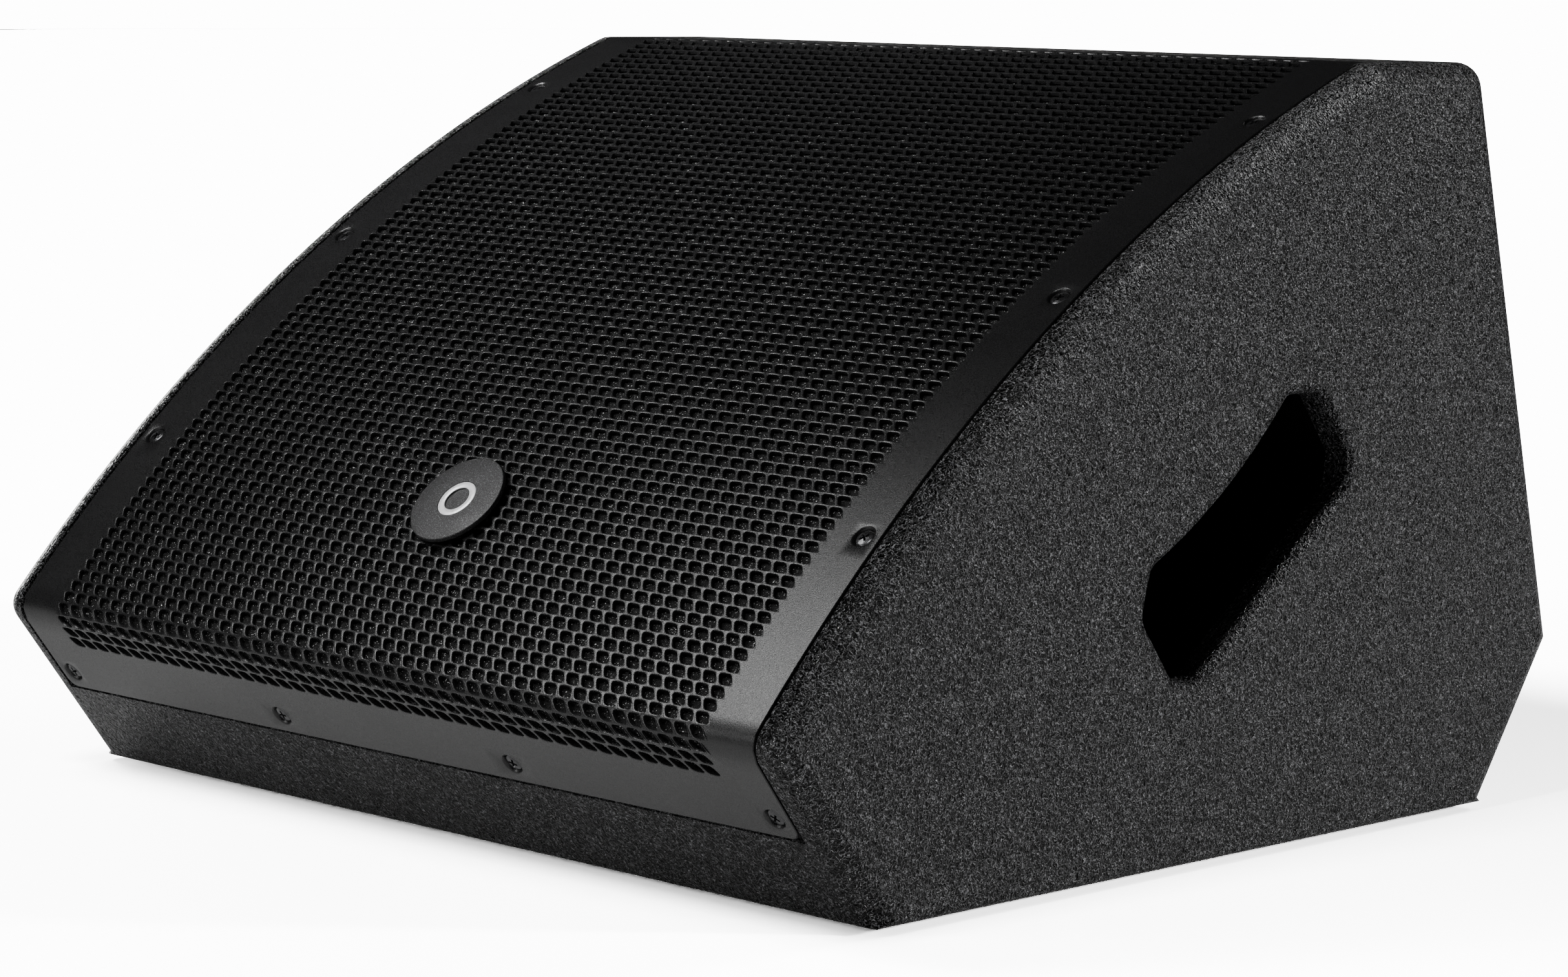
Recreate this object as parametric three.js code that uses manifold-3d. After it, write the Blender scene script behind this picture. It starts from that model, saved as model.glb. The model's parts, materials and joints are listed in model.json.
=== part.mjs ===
// Stage monitor wedge: a low floor loudspeaker that leans back to face a performer.
//
// A black plywood cabinet has a convex front closed by a perforated steel grille. Behind the grille
// a flat baffle carries a 12 inch coaxial driver and two reflex ports. Each side has a hand slot with
// a closed cup behind it, the back has an amplifier plate with its sockets and controls, and four
// rubber feet stand it on the floor.
//
// Millimetres. X runs across the cabinet, -Y is the front, +Z is up. Profile points are (y, z) pairs
// measured from the front bottom edge of the cabinet. The finished group has its origin at the middle
// of the floor under the wedge.
import * as THREE from "three";
import { mergeVertices } from "three/addons/utils/BufferGeometryUtils.js";
import Module from "manifold-3d";

const wasm = await Module();
wasm.setup();

// ---------------------------------------------------------------- driving dimensions
const WIDTH = 450;
const HEIGHT = 300; // cabinet only, without the feet
const FOOT_HEIGHT = 3;
const BOTTOM_DEPTH = 360.5; // front edge of the bottom to the rear bevel
const REAR_CORNER = { y: 404.1, z: 63 }; // where the rear bevel meets the back
const TOP_BACK_Y = 344.2;
const KICK_LEAN = 0.76; // the kick strip moves this far forward for each millimetre up
const FRONT_CENTRE = { y: 559.3, z: -453.2 };
const FRONT_RADIUS = 804.5;
const FRONT_STEPS = 16;
const EDGE_ROUND = 10; // routed edge round the two cheeks
const BOTTOM_EDGE_ROUND = 3;
const NOSE_ROUND = 9;
const TOP_BEND_ROUND = 10;
const TOP_BACK_ROUND = 11;
const REAR_CORNER_ROUND = 4;
const GAP = 0.3; // glue line or assembly gap between two pieces
const EDGE_GAP = 1; // shadow gap round the grille sheet

const SIDE_PLY = 12;
const PLY = 15;

const SHEET = { thickness: 1.5, halfWidth: 211.5, edgeZ: 33.2, flangeEndY: 294.8 };
const SHEET_SEAT = 0.3;
const FOAM = { thickness: 5, halfWidth: 192, setback: 0.6 };
const CLEAT_WIDTH = 18;
const FOAM_LOW_END = 63; // up the slope of the kick strip from the front bottom edge
const TOP_BOARD_FRONT_Y = 283;

const SCREW = { head: 3.8, shank: 1.9, length: 13, sink: 0.9 };
const SCREW_X = { edge: 203.5, middle: 67.3 };
const LOW_SCREW_Z = 40.4;
const EDGE_SCREW_Z = [136, 216, 278];

const HANDLE = { y: 200.8, z: 123.8, slope: 37.3, halfLength: 64.5, halfWidth: 26, bulge: 5 };
const HANDLE_CORNER = { topAlong: 15, topAcross: 12, bottom: 9 };
const CUP = { depth: 50, wall: 3, round: 5, endRoom: 4, lowRoom: 3, fingerRoom: 17 };

const BADGE = { radius: 20.8, thickness: 2, standOff: 1.6, z: 127.6, post: 4 };
const BADGE_INLAY = { outer: 8.4, inner: 5.6, thickness: 0.5 };

const BAFFLE_DEPTH = 25; // front of the baffle behind the chord of the curved front
const DRIVER = { flange: 157.5, neck: 139.6, cone: 118.4, coil: 38.4, boltCircle: 148.5 };
const PORT = { x: 156, along: 148, flange: 36, outer: 33, bore: 30, length: 80 };

const PLATE = { centreUp: 118, halfWidth: 130, halfHeight: 80, thickness: 2.5, sunk: 0.5, round: 4 };
const HOUSING = { halfWidth: 116, halfHeight: 65, depth: 62, wall: 1.5 };
const PLATE_SCREW = { x: 124, y: 74, head: 3.6, shank: 1.7, length: 12 };
// Where each control sits on the plate, from its middle.
const LAYOUT = {
  input: { x: 22, y: 44 },
  link: { x: 58, y: 44 },
  knob: { x: 98, y: 46 },
  button: { x: 98, y: 12 },
  lamp: { x: 76, y: 12 },
  inlet: { x: 36, y: -44 },
  rocker: { x: 92, y: -44 },
};
const FIN = { first: -116, pitch: 9, count: 11, halfThickness: 1.5, halfLength: 62, height: 12 };
const ROCKER_TILT = 9;

const FOOT = { radius: 13, x: 165, y: [52, 308] };

// ---------------------------------------------------------------- materials
const paint = (color, roughness, metalness) =>
  new THREE.MeshStandardMaterial({ color, roughness, metalness });
const COATING = paint(0x1b1b1c, 0.72, 0);
const GRILLE_PAINT = paint(0x17181a, 0.42, 0.3);
const FOAM_BLACK = paint(0x070707, 0.98, 0);
const SCREW_BLACK = paint(0x101012, 0.35, 0.8);
const BADGE_BLACK = paint(0x1d1d20, 0.5, 0.3);
const POLISHED = paint(0xdcdde0, 0.18, 1);
const BOARD = paint(0x1a1815, 0.85, 0);
const PLASTIC = paint(0x0c0c0d, 0.5, 0);
const CAST = paint(0x16171a, 0.5, 0.6);
const PAPER = paint(0x151515, 0.9, 0);
const ROLL = paint(0x0d0d0d, 0.8, 0);
const FERRITE = paint(0x2b2b2e, 0.6, 0.4);
const STEEL = paint(0x9a9ca0, 0.35, 1);
const CIRCUIT = paint(0x0f4025, 0.6, 0);
const RUBBER = paint(0x101010, 0.9, 0);
const LAMP = paint(0x2f9e4a, 0.2, 0);

// ---------------------------------------------------------------- solids
function solid(geometry) {
  const bare = geometry.clone();
  for (const name of Object.keys(bare.attributes)) if (name !== "position") bare.deleteAttribute(name);
  const merged = mergeVertices(bare, 1e-4);
  const mesh = new wasm.Mesh({
    numProp: 3,
    vertProperties: new Float32Array(merged.attributes.position.array),
    triVerts: new Uint32Array(merged.index.array),
  });
  return new wasm.Manifold(mesh);
}

function geometryOf(manifold) {
  const { vertProperties, triVerts } = manifold.getMesh();
  return new THREE.BufferGeometry()
    .setAttribute("position", new THREE.BufferAttribute(new Float32Array(vertProperties), 3))
    .setIndex(new THREE.BufferAttribute(new Uint32Array(triVerts), 1));
}

const joined = (first, ...rest) => rest.reduce((sum, piece) => sum.add(piece), first);
const cut = (first, ...rest) => rest.reduce((left, piece) => left.subtract(piece), first);

const root = new THREE.Group();
const cabinet = new THREE.Group(); // everything measured from the front bottom edge
root.add(cabinet);

function place(name, shape, material, parent = cabinet) {
  const geometry = geometryOf(shape);
  geometry.computeVertexNormals();
  const mesh = new THREE.Mesh(geometry, material);
  mesh.name = name;
  parent.add(mesh);
}

// ---------------------------------------------------------------- shapes to extrude or turn
const vec = (y, z) => new THREE.Vector2(y, z);
const ORIGIN = vec(0, 0);
const shapeOf = (points) => new THREE.Shape(points);

// Extrudes a (y, z) shape across the cabinet from x0 to x1.
const ACROSS = new THREE.Matrix4().makeBasis(
  new THREE.Vector3(0, 1, 0),
  new THREE.Vector3(0, 0, 1),
  new THREE.Vector3(1, 0, 0),
);
function across(shape, x0, x1, options = {}) {
  const geometry = new THREE.ExtrudeGeometry(shape, { depth: x1 - x0, bevelEnabled: false, ...options });
  return solid(geometry.applyMatrix4(ACROSS).translate(x0, 0, 0));
}

// Extrudes an (x, y) shape along z from z0 to z1.
function upright(shape, z0, z1, curveSegments = 6) {
  const geometry = new THREE.ExtrudeGeometry(shape, { depth: z1 - z0, bevelEnabled: false, curveSegments });
  return solid(geometry.translate(0, 0, z0));
}

function block(x0, x1, y0, y1, z0, z1) {
  const geometry = new THREE.BoxGeometry(x1 - x0, y1 - y0, z1 - z0);
  return solid(geometry.translate((x0 + x1) / 2, (y0 + y1) / 2, (z0 + z1) / 2));
}

// A round bar along z.
function bar(radius, z0, z1, x = 0, y = 0, sides = 16) {
  const geometry = new THREE.CylinderGeometry(radius, radius, z1 - z0, sides);
  return solid(geometry.rotateX(Math.PI / 2).translate(x, y, (z0 + z1) / 2));
}

// Turns a profile of [radius, z] pairs about z. A profile that leaves the axis closes on itself.
function turned(profile, sides = 20) {
  const points = profile.map(([radius, z]) => vec(radius, z));
  const onAxis = points[0].x === 0 && points[points.length - 1].x === 0;
  if (THREE.ShapeUtils.area(points) < 0) points.reverse();
  if (!onAxis) points.push(points[0].clone());
  return solid(new THREE.LatheGeometry(points, sides).rotateX(Math.PI / 2));
}

function roundedRect(halfWidth, halfHeight, radius, x = 0, y = 0) {
  const shape = new THREE.Shape();
  shape.moveTo(x + halfWidth, y - halfHeight + radius);
  shape.absarc(x + halfWidth - radius, y + halfHeight - radius, radius, 0, Math.PI / 2);
  shape.absarc(x - halfWidth + radius, y + halfHeight - radius, radius, Math.PI / 2, Math.PI);
  shape.absarc(x - halfWidth + radius, y - halfHeight + radius, radius, Math.PI, 1.5 * Math.PI);
  shape.absarc(x + halfWidth - radius, y - halfHeight + radius, radius, 1.5 * Math.PI, 2 * Math.PI);
  return shape;
}

// ---------------------------------------------------------------- cabinet profile
// A line holds a point, a unit direction and the cabinet's inside on its left.
const lineThrough = (from, to) => ({ point: from, along: to.clone().sub(from).normalize() });
const leftOf = (direction) => vec(-direction.y, direction.x);
const outwardFrom = (line) => leftOf(line.along).negate();
const at = (line, distance) => line.point.clone().addScaledVector(line.along, distance);
const inward = (line, depth) => ({
  point: line.point.clone().addScaledVector(leftOf(line.along), depth),
  along: line.along,
});
function meet(a, b) {
  const between = b.point.clone().sub(a.point);
  return at(a, between.cross(b.along) / a.along.cross(b.along));
}

const frontCentre = vec(FRONT_CENTRE.y, FRONT_CENTRE.z);
const fromFront = (point) => point.clone().sub(frontCentre).normalize();
// Where a line crosses a circle about the centre of the curved front; side picks one of its two points.
function meetFront(line, radius, side) {
  const toPoint = line.point.clone().sub(frontCentre);
  const half = toPoint.dot(line.along);
  const reach = Math.sqrt(half * half - toPoint.lengthSq() + radius * radius);
  return at(line, side * reach - half);
}

const frontCorner = vec(0, 0);
const kickLine = lineThrough(vec(-KICK_LEAN * HEIGHT, HEIGHT), frontCorner);
const bottomLine = lineThrough(frontCorner, vec(BOTTOM_DEPTH, 0));
const bevelLine = lineThrough(vec(BOTTOM_DEPTH, 0), vec(REAR_CORNER.y, REAR_CORNER.z));
const backLine = lineThrough(vec(REAR_CORNER.y, REAR_CORNER.z), vec(TOP_BACK_Y, HEIGHT));
const topLine = lineThrough(vec(TOP_BACK_Y, HEIGHT), vec(0, HEIGHT));
const chordLine = lineThrough(meetFront(topLine, FRONT_RADIUS, 1), meetFront(kickLine, FRONT_RADIUS, -1));
const baffleLine = inward(chordLine, BAFFLE_DEPTH);

// Centres of the two rounds that join the curved front to the kick strip and to the top.
const noseCentre = meetFront(inward(kickLine, NOSE_ROUND), FRONT_RADIUS - NOSE_ROUND, -1);
const bendCentre = meetFront(inward(topLine, TOP_BEND_ROUND), FRONT_RADIUS - TOP_BEND_ROUND, 1);

function arc(centre, radius, fromDirection, toDirection, steps) {
  const start = fromDirection.angle();
  const sweep = (toDirection.angle() - start + 2 * Math.PI) % (2 * Math.PI);
  const points = [];
  for (let i = 0; i <= steps; i++) {
    const angle = start + (sweep * i) / steps;
    points.push(vec(centre.x + radius * Math.cos(angle), centre.y + radius * Math.sin(angle)));
  }
  return points;
}

function corner(before, after, radius) {
  const centre = meet(inward(before, radius), inward(after, radius));
  return arc(centre, radius, outwardFrom(before), outwardFrom(after), 3);
}

// The curved front from the top bend down to the kick strip, at a depth below the outer surface.
function frontCurve(depth) {
  const top = fromFront(bendCentre);
  const nose = fromFront(noseCentre);
  return [
    ...arc(bendCentre, TOP_BEND_ROUND - depth, outwardFrom(topLine), top, 2),
    ...arc(frontCentre, FRONT_RADIUS - depth, top, nose, FRONT_STEPS),
    ...arc(noseCentre, NOSE_ROUND - depth, nose, outwardFrom(kickLine), 3),
  ];
}

const withoutRepeats = (points) =>
  points.filter((point, i) => point.distanceTo(points[(i + 1) % points.length]) > 1e-3);

// The outline of a cheek.
const outline = withoutRepeats([
  frontCorner,
  meet(bottomLine, bevelLine),
  ...corner(bevelLine, backLine, REAR_CORNER_ROUND),
  ...corner(backLine, topLine, TOP_BACK_ROUND),
  ...frontCurve(0),
]);
// The same outline with plain corners and a lower bottom, for the wide round of the cheeks' edges.
const deepFloor = inward(bottomLine, -3 * EDGE_ROUND);
const noseDirection = fromFront(meetFront(kickLine, FRONT_RADIUS, -1));
const plainOutline = withoutRepeats([
  meet(kickLine, deepFloor),
  meet(deepFloor, bevelLine),
  meet(bevelLine, backLine),
  ...corner(backLine, topLine, TOP_BACK_ROUND),
  ...arc(frontCentre, FRONT_RADIUS, fromFront(chordLine.point), noseDirection, FRONT_STEPS),
]);

function softened(points, radius) {
  return across(shapeOf(points), -WIDTH / 2 + radius, WIDTH / 2 - radius, {
    bevelEnabled: true,
    bevelThickness: radius,
    bevelSize: radius,
    bevelOffset: -radius,
    bevelSegments: 2,
  });
}
// The whole cabinet as one rounded block: the wide round stays off the bottom edges.
const wideRound = softened(plainOutline, EDGE_ROUND);
const envelope = wideRound.intersect(softened(outline, BOTTOM_EDGE_ROUND));

// ---------------------------------------------------------------- the curved sheet and the room it needs
const alongKick = (z) => z / -kickLine.along.y;
const onKick = (distance, depth) => at(inward(lineThrough(frontCorner, kickLine.point), -depth), distance);

// The line of the sheet from its top edge over the front to its lower edge, at a depth below the surface.
const skin = (depth, topY, kickDistance) => [
  vec(topY, HEIGHT - depth),
  ...frontCurve(depth),
  onKick(kickDistance, depth),
];
function band(outerDepth, innerDepth, topY, kickDistance) {
  const outer = skin(outerDepth, topY, kickDistance);
  const inner = skin(innerDepth, topY, kickDistance);
  return shapeOf(withoutRepeats([...outer, ...inner.reverse()]));
}

const SHEET_ROOM = SHEET.thickness + SHEET_SEAT;
const sheetRoom = across(
  band(-SHEET_ROOM, SHEET_ROOM, SHEET.flangeEndY + EDGE_GAP, alongKick(SHEET.edgeZ) - EDGE_GAP),
  -WIDTH / 2,
  WIDTH / 2,
);

// ---------------------------------------------------------------- boards
const INNER_X = WIDTH / 2 - SIDE_PLY;
const BOARD_X = INNER_X - GAP;

function handleShape() {
  const { halfLength, halfWidth, bulge } = HANDLE;
  const { topAlong, topAcross, bottom } = HANDLE_CORNER;
  const shape = new THREE.Shape();
  shape.moveTo(-halfLength, -halfWidth + bottom);
  shape.lineTo(-halfLength + bottom, -halfWidth);
  shape.lineTo(halfLength - bottom, -halfWidth);
  shape.lineTo(halfLength, -halfWidth + bottom);
  shape.lineTo(halfLength, halfWidth - topAcross);
  shape.lineTo(halfLength - topAlong, halfWidth);
  shape.quadraticCurveTo(0, halfWidth - 2 * bulge, -halfLength + topAlong, halfWidth);
  shape.lineTo(-halfLength, halfWidth - topAcross);
  return shape;
}

// Turns a shape drawn along the hand slot into the cabinet's profile frame.
function onHandle(shape, divisions = 6) {
  const slope = THREE.MathUtils.degToRad(HANDLE.slope);
  const centre = vec(HANDLE.y, HANDLE.z);
  const points = shape.getPoints(divisions).map((point) => point.rotateAround(ORIGIN, slope).add(centre));
  return shapeOf(withoutRepeats(points));
}

const SIDES = [
  { side: "right", sign: 1 },
  { side: "left", sign: -1 },
];
const spanOf = (sign, inner, outer) => (sign > 0 ? [inner, outer] : [-outer, -inner]);

const handHole = onHandle(handleShape());
const cheekShape = shapeOf(outline);
for (const { side, sign } of SIDES) {
  const [near, far] = spanOf(sign, INNER_X, WIDTH / 2);
  const cheek = across(cheekShape, near, far).intersect(envelope);
  place(`side_panel_${side}`, cut(cheek, across(handHole, near - 1, far + 1)), COATING);
}

const kickInner = inward(kickLine, PLY);
const bottomInner = inward(bottomLine, PLY);
const bevelInner = inward(bevelLine, PLY);
const backInner = inward(backLine, PLY);
const topInner = inward(topLine, PLY);
const beyondKick = inward(kickInner, GAP);
const beyondBevel = inward(bevelInner, GAP);
const beyondBack = inward(backInner, GAP);
const belowTop = inward(topInner, GAP);

const boards = {
  kick_board: [
    meet(kickLine, bottomLine),
    meet(kickLine, baffleLine),
    meet(kickInner, baffleLine),
    meet(kickInner, bottomLine),
  ],
  bottom_board: [
    meet(beyondKick, bottomLine),
    meet(bottomLine, beyondBevel),
    meet(bottomInner, beyondBevel),
    meet(bottomInner, beyondKick),
  ],
  rear_bevel_board: [
    meet(bottomLine, bevelLine),
    meet(bevelLine, beyondBack),
    meet(bevelInner, beyondBack),
    meet(bevelInner, bottomLine),
  ],
  back_board: [
    meet(bevelLine, backLine),
    meet(backLine, belowTop),
    meet(backInner, belowTop),
    meet(backInner, bevelLine),
  ],
  top_board: [
    meet(backLine, topLine),
    vec(TOP_BOARD_FRONT_Y, HEIGHT),
    vec(TOP_BOARD_FRONT_Y, HEIGHT - PLY),
    meet(topInner, backLine),
  ],
  baffle_board: [
    meet(baffleLine, beyondKick),
    meet(baffleLine, belowTop),
    meet(inward(baffleLine, PLY), belowTop),
    meet(inward(baffleLine, PLY), beyondKick),
  ],
};
const plankOf = (name) => {
  const plank = across(shapeOf(boards[name]), -BOARD_X, BOARD_X).intersect(envelope);
  return cut(plank, sheetRoom);
};
for (const name of ["bottom_board", "rear_bevel_board", "top_board"]) place(name, plankOf(name), COATING);

// ---------------------------------------------------------------- handle cups
function cupShape(wall) {
  const halfLength = HANDLE.halfLength + CUP.endRoom + wall;
  const low = HANDLE.halfWidth + CUP.lowRoom + wall;
  const high = HANDLE.halfWidth + CUP.fingerRoom + wall;
  return roundedRect(halfLength, (low + high) / 2, CUP.round + wall, 0, (high - low) / 2);
}
for (const { side, sign } of SIDES) {
  const shell = across(onHandle(cupShape(CUP.wall), 2), ...spanOf(sign, INNER_X - CUP.depth, BOARD_X));
  const room = across(onHandle(cupShape(0), 2), ...spanOf(sign, INNER_X - CUP.depth + CUP.wall, INNER_X + 1));
  place(`handle_cup_${side}`, cut(shell, room), PLASTIC);
}

// ---------------------------------------------------------------- frames of the tilted parts
function frameAt(point, x, y) {
  const matrix = new THREE.Matrix4().makeBasis(x, y, x.clone().cross(y)).setPosition(0, point.x, point.y);
  const group = new THREE.Group();
  group.applyMatrix4(matrix);
  cabinet.add(group);
  return { group, matrix };
}
const inCabinet = (shape, { matrix }) => shape.transform(matrix.elements);

// The driver's frame: origin on the baffle's face, +y up the slope, +z out through the grille.
const baffleLow = meet(baffleLine, beyondKick);
const baffleHigh = meet(baffleLine, belowTop);
const upBaffle = baffleHigh.clone().sub(baffleLow).normalize();
const driverFrame = frameAt(
  baffleLow.clone().add(baffleHigh).multiplyScalar(0.5),
  new THREE.Vector3(1, 0, 0),
  new THREE.Vector3(0, upBaffle.x, upBaffle.y),
);

// The plate's frame: origin on the outer face of the back, +x to a viewer's right, +z out of the back.
const plateFrame = frameAt(
  at(backLine, PLATE.centreUp),
  new THREE.Vector3(-1, 0, 0),
  new THREE.Vector3(0, backLine.along.x, backLine.along.y),
);

// ---------------------------------------------------------------- grille screws
// A spot on the front: its point on the surface and its outward direction, both in the profile.
function frontSpot(z) {
  const point = meetFront({ point: vec(0, z), along: vec(1, 0) }, FRONT_RADIUS, -1);
  return { point, out: fromFront(point) };
}
const kickSpot = (z) => ({ point: onKick(alongKick(z), 0), out: outwardFrom(kickLine) });

function standOn(spot, x) {
  const group = new THREE.Group();
  group.position.set(x, spot.point.x, spot.point.y);
  const out = new THREE.Vector3(0, spot.out.x, spot.out.y);
  group.quaternion.setFromUnitVectors(new THREE.Vector3(0, 0, 1), out);
  group.updateMatrix();
  cabinet.add(group);
  return group;
}

const GRILLE_SCREW = [
  [0, -SCREW.length],
  [SCREW.shank, -SCREW.length + 1.5],
  [SCREW.shank, -SCREW.sink - 1.4],
  [SCREW.head, -SCREW.sink - 0.5],
  [SCREW.head * 0.75, -SCREW.sink + 0.25],
  [0, -SCREW.sink + 0.4],
];
// The hole and dimple that a grille screw sits in.
const SCREW_ROOM = [
  [0, -SCREW.length - GAP],
  [SCREW.shank + GAP, -SCREW.length + 1.2],
  [SCREW.shank + GAP, -SCREW.sink - 1.7],
  [SCREW.head + 0.5, -SCREW.sink - 0.6],
  [SCREW.head + 0.9, 1],
  [0, 1],
];
const SCREW_SIDES = 10;

const screwSpots = [-SCREW_X.edge, -SCREW_X.middle, SCREW_X.middle, SCREW_X.edge].map((x) => ({
  x,
  spot: kickSpot(LOW_SCREW_Z),
}));
for (const z of EDGE_SCREW_Z) {
  for (const { sign } of SIDES) screwSpots.push({ x: sign * SCREW_X.edge, spot: frontSpot(z) });
}
const screwRooms = screwSpots.map(({ x, spot }, i) => {
  const group = standOn(spot, x);
  const number = String(i + 1).padStart(2, "0");
  place(`grille_screw_${number}`, turned(GRILLE_SCREW, SCREW_SIDES), SCREW_BLACK, group);
  return turned(SCREW_ROOM, SCREW_SIDES).transform(group.matrix.elements);
});
place("kick_board", cut(plankOf("kick_board"), ...screwRooms), COATING);

// ---------------------------------------------------------------- badge
const badgeGroup = standOn(frontSpot(BADGE.z), 0);
const BADGE_FACE = BADGE.standOff + BADGE.thickness;
const INLAY_ROOM = BADGE_INLAY.outer + GAP;
const INLAY_FLOOR = BADGE_FACE - BADGE_INLAY.thickness;
const badgeProfile = [
  [0, -SHEET.thickness],
  [BADGE.post, -SHEET.thickness],
  [BADGE.post, BADGE.standOff],
  [BADGE.radius, BADGE.standOff],
  [BADGE.radius, BADGE_FACE - 0.4],
  [BADGE.radius - 0.4, BADGE_FACE],
  [INLAY_ROOM, BADGE_FACE],
  [INLAY_ROOM, INLAY_FLOOR - GAP],
  [0, INLAY_FLOOR - GAP],
];
const inlayProfile = [
  [BADGE_INLAY.inner, INLAY_FLOOR],
  [BADGE_INLAY.outer, INLAY_FLOOR],
  [BADGE_INLAY.outer, BADGE_FACE],
  [BADGE_INLAY.inner, BADGE_FACE],
];
place("badge_disc", turned(badgeProfile), BADGE_BLACK, badgeGroup);
place("badge_ring", turned(inlayProfile), POLISHED, badgeGroup);
const postRoom = bar(BADGE.post + GAP, -SHEET.thickness - 1, 1).transform(badgeGroup.matrix.elements);

// ---------------------------------------------------------------- grille, foam and cleats
const sheet = across(
  band(0, SHEET.thickness, SHEET.flangeEndY, alongKick(SHEET.edgeZ)),
  -SHEET.halfWidth,
  SHEET.halfWidth,
);
place("grille", cut(sheet, ...screwRooms, postRoom), GRILLE_PAINT);

const foamFace = SHEET.thickness + FOAM.setback;
const foam = across(
  band(foamFace, foamFace + FOAM.thickness, TOP_BOARD_FRONT_Y - EDGE_GAP, FOAM_LOW_END),
  -FOAM.halfWidth,
  FOAM.halfWidth,
);
place("grille_foam", foam, FOAM_BLACK);

// The space between the sheet and the baffle, closed at its ends by the kick and top boards.
function frontCavity(depth) {
  const above = inward(baffleLine, -GAP);
  const topEnd = TOP_BOARD_FRONT_Y - GAP;
  return shapeOf(
    withoutRepeats([
      vec(topEnd, HEIGHT - depth),
      ...frontCurve(depth),
      meet(inward(kickLine, depth), above),
      meet(above, belowTop),
      vec(topEnd, belowTop.point.y),
    ]),
  );
}
for (const { side, sign } of SIDES) {
  const cleat = across(frontCavity(SHEET_ROOM), ...spanOf(sign, BOARD_X - CLEAT_WIDTH, BOARD_X));
  place(`grille_cleat_${side}`, cut(cleat, ...screwRooms), BOARD);
}

// ---------------------------------------------------------------- coaxial driver
const DRIVER_SIDES = 24;
const FLANGE_FACE = 4;
const BOLT_ANGLES = [45, 135, 225, 315].map(THREE.MathUtils.degToRad);
const bolts = BOLT_ANGLES.map((angle) => ({
  x: DRIVER.boltCircle * Math.cos(angle),
  y: DRIVER.boltCircle * Math.sin(angle),
}));
const BOLT = { head: 4.4, headHeight: 3, shank: 2.2, end: -12 };
const boltHoles = bolts.map(({ x, y }) => bar(BOLT.shank + GAP, BOLT.end - PLY, 2 * FLANGE_FACE, x, y, 10));

const BASKET = [
  [DRIVER.flange, GAP],
  [DRIVER.neck, GAP],
  [DRIVER.neck, -9],
  [62, -86],
  [62, -89],
  [40, -89],
  [40, -86.5],
  [60.5, -86.5],
  [134, -12],
  [134, -6],
  [136.5, -6],
  [136.5, FLANGE_FACE],
  [DRIVER.flange, FLANGE_FACE],
];
const WINDOWS = 4;
const windows = Array.from({ length: WINDOWS }, (_, i) =>
  block(74, 150, -34, 34, -72, -18).rotate([0, 0, (i * 360) / WINDOWS]),
);
place("woofer_basket", cut(turned(BASKET, DRIVER_SIDES), ...windows, ...boltHoles), CAST, driverFrame.group);

const CONE = [
  [DRIVER.cone, -4.3],
  [DRIVER.cone, -5.5],
  [DRIVER.coil, -62],
  [DRIVER.coil, -97],
  [DRIVER.coil - 1, -97],
  [DRIVER.coil - 1, -60.5],
  [DRIVER.cone - 1.4, -4.3],
];
place("woofer_cone", turned(CONE, DRIVER_SIDES), PAPER, driverFrame.group);

// A half roll from the cone's edge to the basket's ledge.
const SURROUND = { middle: 126.6, roll: 7.4, skin: 1.2, base: -4.5, steps: 4, ledge: 136 };
function surroundProfile() {
  const { middle, roll, skin: thickness, base, steps, ledge } = SURROUND;
  const halfRoll = (radius, height) =>
    Array.from({ length: steps + 1 }, (_, i) => {
      const angle = (Math.PI * i) / steps;
      return [middle + radius * Math.cos(angle), height + radius * Math.sin(angle)];
    });
  return [
    [ledge, base - thickness],
    [ledge, base],
    ...halfRoll(roll, base),
    ...halfRoll(roll - thickness, base - thickness).reverse(),
  ];
}
place("woofer_surround", turned(surroundProfile(), DRIVER_SIDES), ROLL, driverFrame.group);

// A corrugated disc that centres the voice coil.
const SPIDER = { inner: 39.6, outer: 75.5, z: -69, ripple: 1.6, waves: 2, steps: 8, thickness: 0.8 };
function spiderProfile() {
  const { inner, outer, z, ripple, waves, steps, thickness } = SPIDER;
  const face = (offset) =>
    Array.from({ length: steps + 1 }, (_, i) => [
      inner + ((outer - inner) * i) / steps,
      z + offset + ripple * Math.sin((2 * Math.PI * waves * i) / steps),
    ]);
  return [...face(0), ...face(thickness).reverse()];
}
place("woofer_spider", turned(spiderProfile()), PAPER, driverFrame.group);

const MOTOR = [
  [13, -122],
  [60, -122],
  [60, -89 - GAP],
  [39.8, -89 - GAP],
  [39.8, -114],
  [36.2, -114],
  [36.2, -89 - GAP],
  [13, -89 - GAP],
];
place("woofer_motor", turned(MOTOR), FERRITE, driverFrame.group);

const HORN = [
  [12.5, -89],
  [15, -89],
  [17, -75],
  [24, -55],
  [34, -35],
  [31.8, -35],
  [21.6, -55],
  [14.6, -75],
];
place("hf_horn", turned(HORN), PLASTIC, driverFrame.group);

const COMPRESSION_DRIVER = [
  [0, -148],
  [34, -148],
  [38, -144],
  [38, -126],
  [30, -122 - GAP],
  [0, -122 - GAP],
];
place("compression_driver", turned(COMPRESSION_DRIVER), FERRITE, driverFrame.group);

bolts.forEach(({ x, y }, i) => {
  const head = bar(BOLT.head, FLANGE_FACE + GAP, FLANGE_FACE + GAP + BOLT.headHeight, x, y, 10);
  const shank = bar(BOLT.shank, BOLT.end, FLANGE_FACE + 1, x, y, 10);
  place(`woofer_bolt_${i + 1}`, head.add(shank), SCREW_BLACK, driverFrame.group);
});

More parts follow.
